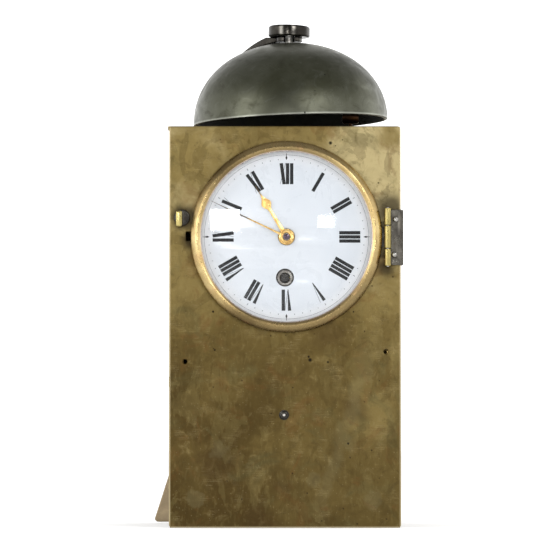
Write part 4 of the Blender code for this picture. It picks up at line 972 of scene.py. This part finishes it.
def make_bezel():
    """The bezel ring with its hinge knuckle, the tongue that joins them, and the domed glass."""
    front = -BEZEL_FRONT
    back = -FACE + 0.3
    profile = [(BEZEL_R, back), (BEZEL_IN_R + 1.8, back), (BEZEL_IN_R + 1.8, front - 1.8),
               (BEZEL_IN_R, front - 1.8), (BEZEL_IN_R, front - 0.95), (BEZEL_IN_R + 1.3, front),
               (BEZEL_IN_R + 2.2, front), (BEZEL_R - 1.2, front - 0.9), (BEZEL_R, front - 2.2)]
    ring = turned(soften(profile, 0.5, 4), DIAL_AXIS, "front", 192, closed=True)
    piece("bezel_ring", dented(ring, 6.0, 0.05, 1.0), "bezel", "bezel_brass", ["bezel"], 50)

    low = HINGE_MID - KNUCKLE_HALF + KNUCKLE_GAP
    high = HINGE_MID + KNUCKLE_HALF - KNUCKLE_GAP
    piece("bezel_knuckle", knuckle(low, high), "bezel", "knuckle_brass")
    tongue = block((DIAL.x + BEZEL_R - 1.6, HINGE.y + 0.2, low + 0.5),
                   (HINGE.x, FACE - 0.5, high - 0.5), 0.2)
    # painted shade: the bezel's brass tongue is given black steel, to read as the dark gap between bezel and
    # knuckle
    piece("bezel_tongue", tongue, "bezel", "black_steel")

    sag = 1.9
    steps = 24
    edge = -GLASS_LOW.y
    front_face = [(GLASS_R * k / steps, edge + sag * (1 - (k / steps) ** 2)) for k in range(steps + 1)]
    rear_face = [(radius, along - 0.8) for radius, along in front_face[::-1]]
    glass = turned(front_face + rear_face, DIAL_AXIS, "front", FINE)
    piece("dial_glass_skin", glass, "bezel", "clear_glass", ["dial_glass"], 60)


def knuckle(low, high):
    """A hinge barrel with softly rounded ends, bored for its pin."""
    bore = 0.7
    profile = [(bore, low), (HINGE_R, low), (HINGE_R, high), (bore, high)]
    return turned(soften(profile, 0.4, 4), HINGE_AXIS, "up", COARSE, closed=True)


def make_hinge():
    """The fixed leaf, wrapped round the right edge, with its two knuckles, pin and rivets."""
    low = HINGE_LOW + 0.4
    high = HINGE_HIGH - 0.6
    right = span("bezel_hinge_leaf")[1].x
    left = right - 5.5
    face = soften(rectangle(left, low, right, high), 0.9, 5)
    leaf = sheet([face] + rivet_holes(), 0.6, 0.2, (0, FACE - 0.6, 0), FACING["front"])
    wrap = sheet([soften(rectangle(FACE - 0.85, low + 0.1, FACE + 9.0, high - 0.1), 0.8, 4)], 0.8, 0.25,
                 (right - 0.4, 0, 0), FACING["side"])
    lips = []
    for lip in (HINGE_MID - 8.7, HINGE_MID + 8.7):
        lips.append(block((HINGE.x + 0.2, FACE - 1.0, lip - 2.9), (left + 0.8, FACE - 0.3, lip + 2.9), 0.15))
    piece("bezel_hinge_leaf_skin", combined(leaf, wrap, *lips), "case", "dark_steel",
          ["bezel_hinge_leaf"])
    lower = knuckle(HINGE_LOW, HINGE_MID - KNUCKLE_HALF - KNUCKLE_GAP)
    upper = knuckle(HINGE_MID + KNUCKLE_HALF + KNUCKLE_GAP, HINGE_HIGH)
    piece("bezel_hinge_knuckle_lower", lower, "case", "knuckle_brass")
    piece("bezel_hinge_knuckle_upper", upper, "case", "knuckle_brass")
    low, high = span("bezel_hinge_pin")
    profile = [(0, low.z), (0.65, low.z), (0.65, high.z), (0, high.z)]
    piece("bezel_hinge_pin_skin", lathe(profile, 0.35, HINGE_AXIS, "up", steps=3),
          "case", "steel", ["bezel_hinge_pin"])
    for name in RIVETS:
        low, high = span(name)
        near = -low.y
        far = -high.y
        profile = [(0, near), (0.8, near - 0.15), (1.3, near - 0.8), (0.6, near - 0.8), (0.6, far), (0, far)]
        spot = middle(name)
        piece(name + "_skin", lathe(profile, 0.25, (spot.x, 0, spot.z), "front", steps=3),
              "case", "steel", [name])


def make_latch():
    """The turning catch: a dark disc with a brass thumb bar across it."""
    low, high = span("latch_disc")
    radius = (high.x - low.x) / 2
    profile = [(0, -low.y), (radius - 0.5, -low.y), (radius, -low.y - 0.35), (radius, -low.y - 0.8),
               (1.0, -low.y - 0.8), (1.0, -high.y), (0, -high.y)]
    disc = lathe(profile, 0.2, (LATCH.x, 0, LATCH.z), "front", 64, steps=3)
    piece("latch_disc_skin", disc, "latch", "black_steel", ["latch_disc"])
    low, high = span("latch_bar")
    outline = soften(rectangle(low.x, low.z, high.x, high.z), 1.1, 6)
    bar = sheet([outline], high.y - low.y, 0.55, (0, (low.y + high.y) / 2, 0), FACING["front"])
    piece("latch_bar_skin", bar, "latch", "knuckle_brass", ["latch_bar"])


def make_front_screw():
    """The worn screw below the dial, with a painted highlight at its middle, in a dark seat."""
    low, high = span("front_screw")
    near = -low.y
    profile = [(0, near), (1.3, near), (1.8, near - 0.35), (1.8, near - 0.9), (0.9, near - 0.9),
               (0.9, -high.y), (0, -high.y)]
    piece("front_screw_skin", lathe(profile, 0.25, SCREW_AXIS, "front", steps=3),
          "case", "black_steel", ["front_screw"])
    point = [(0, near + 0.35), (0.45, near + 0.25), (0.7, near - 0.1), (0, near - 0.2)]
    # painted highlight: a pale point at the screw's middle
    piece("front_screw_point", lathe(point, 0.2, SCREW_AXIS, "front", steps=3),
          "case", "pale_steel")
    washer = [(1.7, near - 0.85), (2.15, near - 0.85), (2.15, -FACE + 0.02), (1.7, -FACE + 0.02)]
    piece("front_screw_seat", turned(soften(washer, 0.1, 2), SCREW_AXIS, "front", closed=True),
          "case", "black_steel")


# ---- dial ----

def make_dial():
    """The enamel disc, and the steel collar of its winding hole."""
    loops = [circle((DIAL.x, DIAL.z), DIAL_R, FINE), circle((DIAL.x, DIAL.z), 3.6),
             circle((WINDING.x, WINDING.z), WINDING_HOLE_R, 64)]
    disc = sheet(loops, 1.0, 0.25, (0, DIAL_FACE + 0.5, 0), FACING["front"])
    piece("dial_skin", disc, "case", "enamel", ["dial"])
    near = -DIAL_FACE + 0.10
    far = -DIAL_FACE - 2.4
    collar = [(WINDING_HOLE_R - 0.45, near), (WINDING_HOLE_R + 0.12, near),
              (WINDING_HOLE_R - 0.02, far), (WINDING_HOLE_R - 0.45, far)]
    eyelet = turned(soften(collar, 0.12, 3), (WINDING.x, 0, WINDING.z), "front", 64, closed=True)
    piece("dial_eyelet", eyelet, "case", "black_steel")


def bar(start, end, start_width, end_width):
    """A straight stroke that may taper, as a loop."""
    heading = (Vector(end) - Vector(start)).normalized()
    aside = Vector((-heading.y, heading.x))
    return [tuple(Vector(start) + aside * start_width / 2), tuple(Vector(start) - aside * start_width / 2),
            tuple(Vector(end) - aside * end_width / 2), tuple(Vector(end) + aside * end_width / 2)]


STROKE = 1.45
HAIR = 0.14
LETTER_GAP = 0.34


def letter_strokes(letter, left):
    """Strokes of one Roman letter whose left side is at `left`, and the letter's width."""
    low, high = NUMERAL_BASE, NUMERAL_TOP
    if letter == "I":
        x = left + STROKE / 2
        return [bar((x, low), (x, high), STROKE, STROKE)], STROKE
    if letter == "V":
        return [bar((left + 1.45, low), (left + STROKE / 2, high), 0.3, STROKE),
                bar((left + 1.5, low), (left + 2.7, high), HAIR, HAIR)], 2.4
    return [bar((left + 2.0, low), (left + STROKE / 2, high), STROKE, STROKE),
            bar((left + 0.3, low), (left + 2.6, high), HAIR, HAIR)], 2.4


def numeral_loops(text):
    """All strokes of a numeral, centred, standing on its base radius; V and X each have a hairline stroke.
    """
    strokes = []
    left = 0.0
    for letter in text:
        added, width = letter_strokes(letter, left)
        strokes += added
        left += width + LETTER_GAP
    half = (left - LETTER_GAP) / 2
    return [[(x - half, y) for x, y in loop] for loop in strokes]


def around(loops, clockwise):
    """Loops drawn at twelve o'clock, moved round the dial."""
    turn = -clockwise
    return [[(x * math.cos(turn) - y * math.sin(turn) + DIAL.x,
              x * math.sin(turn) + y * math.cos(turn) + DIAL.z) for x, y in loop] for loop in loops]


def printed(name, loops, look):
    """Thin ink on the dial's face: each loop becomes a shallow prism."""
    work = bmesh.new()
    base = DIAL_FACE - 0.005
    top = DIAL_FACE - 0.035
    for loop in loops:
        rings = [[work.verts.new(Vector((x, depth, z)) * MM) for x, z in loop] for depth in (base, top)]
        work.faces.new(rings[1])
        work.faces.new(rings[0][::-1])
        for k in range(len(loop)):
            after = (k + 1) % len(loop)
            work.faces.new([rings[0][k], rings[0][after], rings[1][after], rings[1][k]])
    bmesh.ops.recalc_face_normals(work, faces=work.faces)
    mesh = bpy.data.meshes.new(name)
    work.to_mesh(mesh)
    work.free()
    piece(name, mesh, "case", look)


def make_dial_print():
    """Hour numerals, quarter marks, minute ticks and the fine ring between them."""
    numerals = []
    for hour, text in enumerate(("XII", "I", "II", "III", "IIII", "V", "VI", "VII", "VIII", "IX",
                                 "X", "XI")):
        numerals += around(numeral_loops(text), TURN * hour / 12)
    for quarter in range(4):
        spear = [(0.0, 33.2), (0.42, 34.2), (0.12, 35.2), (0.07, 36.2), (-0.07, 36.2), (-0.12, 35.2),
                 (-0.42, 34.2)]
        numerals += around([spear], TURN * quarter / 4)
    printed("dial_numerals", numerals, "black_enamel")
    ticks = []
    for minute in range(60):
        if minute % 15 == 0:
            continue
        tall = 0.95 if minute % 5 == 0 else 0.5
        tick = bar((0, 33.6 - tall / 2), (0, 33.6 + tall / 2), 0.30, 0.30)
        ticks += around([tick], TURN * minute / 60)
    printed("dial_minutes", ticks, "grey_enamel")
    ring = turned([(35.42, -DIAL_FACE + 0.005), (35.56, -DIAL_FACE + 0.005), (35.56, -DIAL_FACE + 0.03),
                   (35.42, -DIAL_FACE + 0.03)], DIAL_AXIS, "front", 192, closed=True)
    piece("dial_minute_ring", ring, "case", "grey_enamel")


# ---- hands ----

def ridged_hand(stations, angle, back, thickness):
    """A hand with two sloping facets: stations of (distance, half width) from hub to tip."""
    turn = -angle
    out = Vector((-math.sin(turn), 0, math.cos(turn)))
    aside = Vector((math.cos(turn), 0, math.sin(turn)))
    centre = Vector(DIAL_AXIS)
    work = bmesh.new()
    rings = []
    for distance, half in stations:
        foot = centre + out * distance
        ridge = thickness * min(1.0, 0.35 + half / 1.2)
        corners = [foot + aside * half * side + Vector((0, back - ridge * rise, 0))
                   for side, rise in ((-1, 0), (1, 0), (1, 0.45), (0, 1), (-1, 0.45))]
        rings.append([work.verts.new(corner * MM) for corner in corners])
    work.faces.new(rings[0])
    work.faces.new(rings[-1][::-1])
    for first, second in zip(rings, rings[1:]):
        for k in range(5):
            after = (k + 1) % 5
            work.faces.new([first[k], first[after], second[after], second[k]])
    return mesh_from(work)


def make_hands():
    """The two hands on their hubs, and the pin that holds the minute hand."""
    stations = [(2.9, 0.95), (6.0, 0.80), (12.6, 0.62), (14.1, 0.72), (15.6, 1.75), (16.5, 2.15),
                (17.4, 2.05), (18.6, 1.25), (20.0, 0.42), (21.5, 0.24), (25.9, 0.12)]
    hand = ridged_hand(stations, HOUR_ANGLE, -HOUR_BACK, 0.5)
    hub = turned(soften([(2.72, -0.1), (3.4, -0.1), (3.4, 0.6), (2.72, 0.6)], 0.2, 3),
                 (DIAL.x, -HOUR_BACK, DIAL.z), "front", 64, closed=True)
    piece("hour_hand_skin", combined(hand, hub), "hour_wheel", "hour_gilt", ["hour_hand"], 20)

    stations = [(2.4, 0.50), (8.0, 0.38), (20.0, 0.24), (24.0, 0.28), (26.0, 0.42), (28.0, 0.26),
                (30.0, 0.14), (36.0, 0.08)]
    hand = ridged_hand(stations, MINUTE_ANGLE, -MINUTE_BACK, 0.45)
    place = (DIAL.x, -MINUTE_BACK, DIAL.z)
    collet = [(1.62, 0.0), (3.0, 0.0), (3.0, 0.4), (2.6, 0.65), (2.3, 0.4), (1.95, 0.4), (1.7, 0.7),
              (1.62, 0.5)]
    hub = turned(soften(collet, 0.15, 3), place, "front", 64, closed=True)
    piece("minute_hand_skin", combined(hand, hub), "centre_arbor", "minute_gilt",
          ["minute_hand"], 25)
    nose = [(1.0, -0.3), (1.35, 0.55), (1.2, 0.95), (0.6, 1.1), (0, 1.15)]
    pin = lathe(nose, 0.2, place, "front", 48, steps=3)
    piece("centre_pin", pin, "centre_arbor", "blued_steel")


# ---- rear prop ----

PROP_Y = 47.9
PROP_SLOPE = math.radians(17.5)
PROP_T = 1.3


def make_prop():
    """The folding strut at the back: a sheet that widens downwards below a round hinge edge."""
    low, high = span("rear_prop")
    wide = (high.x - low.x) / 2
    x = (low.x + high.x) / 2
    top_z = middle("prop_bracket").z
    top_half = wide - (top_z - low.z) * math.tan(PROP_SLOPE)
    outline = soften([(x - wide + 1.0, low.z), (x + wide - 1.0, low.z), (x + wide, low.z + 1.2),
                      (x + top_half, top_z), (x - top_half, top_z), (x - wide, low.z + 1.2)], 0.8, 4)
    panel = sheet([outline], PROP_T, 0.4, (0, PROP_Y, 0), FACING["front"])
    reach = top_half + 3.0
    pin = 0.8
    round_edge = 1.3
    inner = top_half - 0.4
    profile = [(0, -reach), (pin, -reach), (pin, -inner), (round_edge, -inner), (round_edge, inner),
               (pin, inner), (pin, reach), (0, reach)]
    barrel = lathe(profile, 0.2, (x, PROP_Y, top_z), "right", steps=3)
    piece("rear_prop_skin", combined(panel, barrel), "rear_prop", "prop_brass", ["rear_prop"])


# ---- nodes that are shown as they are ----

KEPT_LOOKS = {
    "case_brass": ("top_plate", "base_plate", "side_panel_right", "side_panel_left_lower",
                   "back_panel_lower", "movement_seat"),
    "dark_steel": ("prop_bracket",),
    "bright_brass": ("balance_wheel",),
    # painted shade: the winding arbor and the movement's front plate are made dark, as inside the winding
    # hole
    "dim_steel": ("winding_arbor",),
    "tarnished_brass": ("movement_front_plate",),
    "steel": ("going_mainspring", "ratchet_wheel", "click", "cannon_pinion",
              "pallet_lever", "hairspring", "alarm_winding_arbor", "alarm_release_lever"),
    # painted shade: the hammer's metal is made dark
    "copper_bronze": ("hammer",),
}
SHEETS = ("top_plate", "base_plate", "side_panel_right", "side_panel_left_lower", "back_panel_lower",
          "movement_seat", "prop_bracket")
SHEET_EDGE = 0.3
CORNER = math.radians(38.0)     # faces that meet more sharply than this keep a hard edge


def dress_kept_nodes():
    """Gives every node that is still shown its metal, and rounds the edges of the sheets."""
    look_of = {node: look for look, nodes in KEPT_LOOKS.items() for node in nodes}
    for name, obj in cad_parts.items():
        if obj.hide_render:
            continue
        look = look_of.get(name, "gear_brass")
        obj.data.materials.clear()
        obj.data.materials.append(LOOKS[look])
        if "custom_normal" in obj.data.attributes:
            obj.data.attributes.remove(obj.data.attributes["custom_normal"])
        obj.data.shade_smooth()
        weld = obj.modifiers.new("weld", "WELD")
        weld.merge_threshold = 1e-6
        if name in SHEETS:
            edge = obj.modifiers.new("edge", "BEVEL")
            edge.width = SHEET_EDGE * MM
            edge.segments = 2
            edge.limit_method = "ANGLE"
            edge.angle_limit = CORNER
            obj.modifiers.new("flatness", "WEIGHTED_NORMAL")
        else:
            corners = obj.modifiers.new("corners", "EDGE_SPLIT")
            corners.split_angle = CORNER


# ---- stage ----

def make_floor():
    work = bmesh.new()
    bmesh.ops.create_circle(work, cap_ends=True, segments=96, radius=9.0)
    floor = bpy.data.objects.new("floor", mesh_from(work))
    bpy.context.scene.collection.objects.link(floor)
    p = Paint("floor_paper", 0.0)
    shade = p.noise(60.0, 3.0)
    p.base(shade, srgb(250, 250, 250), srgb(246, 246, 246))
    floor.data.materials.append(p.done(0.9))
    p.shader.inputs["Emission Color"].default_value = (1.0, 1.0, 1.0, 1.0)
    p.shader.inputs["Emission Strength"].default_value = 0.32


def make_world():
    """A pale room: bright to the sides and behind, dimmer overhead and in front of the dial."""
    world = bpy.data.worlds.new("studio")
    bpy.context.scene.world = world
    world.use_nodes = True
    tree = world.node_tree
    background = tree.nodes["Background"]
    place = tree.nodes.new("ShaderNodeTexCoord")
    axes = tree.nodes.new("ShaderNodeSeparateXYZ")
    tree.links.new(place.outputs["Generated"], axes.inputs["Vector"])

    def fade(axis, start, end, least):
        ramp = tree.nodes.new("ShaderNodeMapRange")
        ramp.interpolation_type = "SMOOTHSTEP"
        for socket, number in (("From Min", start), ("From Max", end), ("To Min", 1.0), ("To Max", least)):
            ramp.inputs[socket].default_value = number
        tree.links.new(axes.outputs[axis], ramp.inputs["Value"])
        return ramp.outputs["Result"]

    both = tree.nodes.new("ShaderNodeMath")
    both.operation = "MULTIPLY"
    tree.links.new(fade("Z", 0.12, 0.80, 0.30), both.inputs[0])
    tree.links.new(fade("Y", -0.45, -0.95, 0.32), both.inputs[1])
    strength = tree.nodes.new("ShaderNodeMath")
    strength.operation = "MULTIPLY"
    strength.inputs[1].default_value = 1.8
    tree.links.new(both.outputs[0], strength.inputs[0])
    tree.links.new(strength.outputs[0], background.inputs["Strength"])
    background.inputs["Color"].default_value = (1.0, 1.0, 1.0, 1.0)


def soft_light(name, place, target, width, height, radiance, tint=(1.0, 1.0, 1.0)):
    """A rectangular soft box; radiance is the brightness of its face."""
    light = bpy.data.lights.new(name, "AREA")
    light.shape = "RECTANGLE"
    light.size = width
    light.size_y = height
    light.energy = radiance * math.pi * width * height
    light.color = tint
    box = bpy.data.objects.new(name, light)
    bpy.context.scene.collection.objects.link(box)
    box.location = place
    box.rotation_euler = (Vector(target) - Vector(place)).to_track_quat("-Z", "Y").to_euler()
    box.visible_camera = False


def make_lights():
    heart = (0.0, FACE * MM, DIAL.z * MM)
    soft_light("key", (0.62, -1.15, 0.70), heart, 0.6, 0.6, 5.0)
    soft_light("fill", (-1.0, -0.80, 0.45), heart, 0.6, 0.9, 3.0)
    soft_light("rim", (0.9, 0.5, 0.5), heart, 0.4, 0.8, 1.2)
    soft_light("window_left", (-0.256, -1.55, 0.278), heart, 0.125, 0.09, 54.0)
    soft_light("window_right", (0.172, -1.55, 0.270), heart, 0.070, 0.050, 18.0)


def make_camera():
    """A long lens a little below the middle, tipped slightly up."""
    camera = bpy.data.cameras.new("camera")
    camera.sensor_width = 36.0
    camera.lens = 243.0
    camera.clip_end = 50.0
    obj = bpy.data.objects.new("camera", camera)
    bpy.context.scene.collection.objects.link(obj)
    obj.location = Vector((-4.3, FACE - 1600.0, 39.0)) * MM
    obj.rotation_euler = (TURN / 4 + math.radians(2.5), 0, 0)
    bpy.context.scene.camera = obj


make_front()
make_posts()
make_doors()
make_bell()
make_bell_fittings()
make_strap()
make_bezel()
make_hinge()
make_latch()
make_front_screw()
make_dial()
make_dial_print()
make_hands()
make_prop()
dress_kept_nodes()
make_floor()
make_world()
make_lights()
make_camera()
bpy.context.scene.view_settings.view_transform = "Standard"
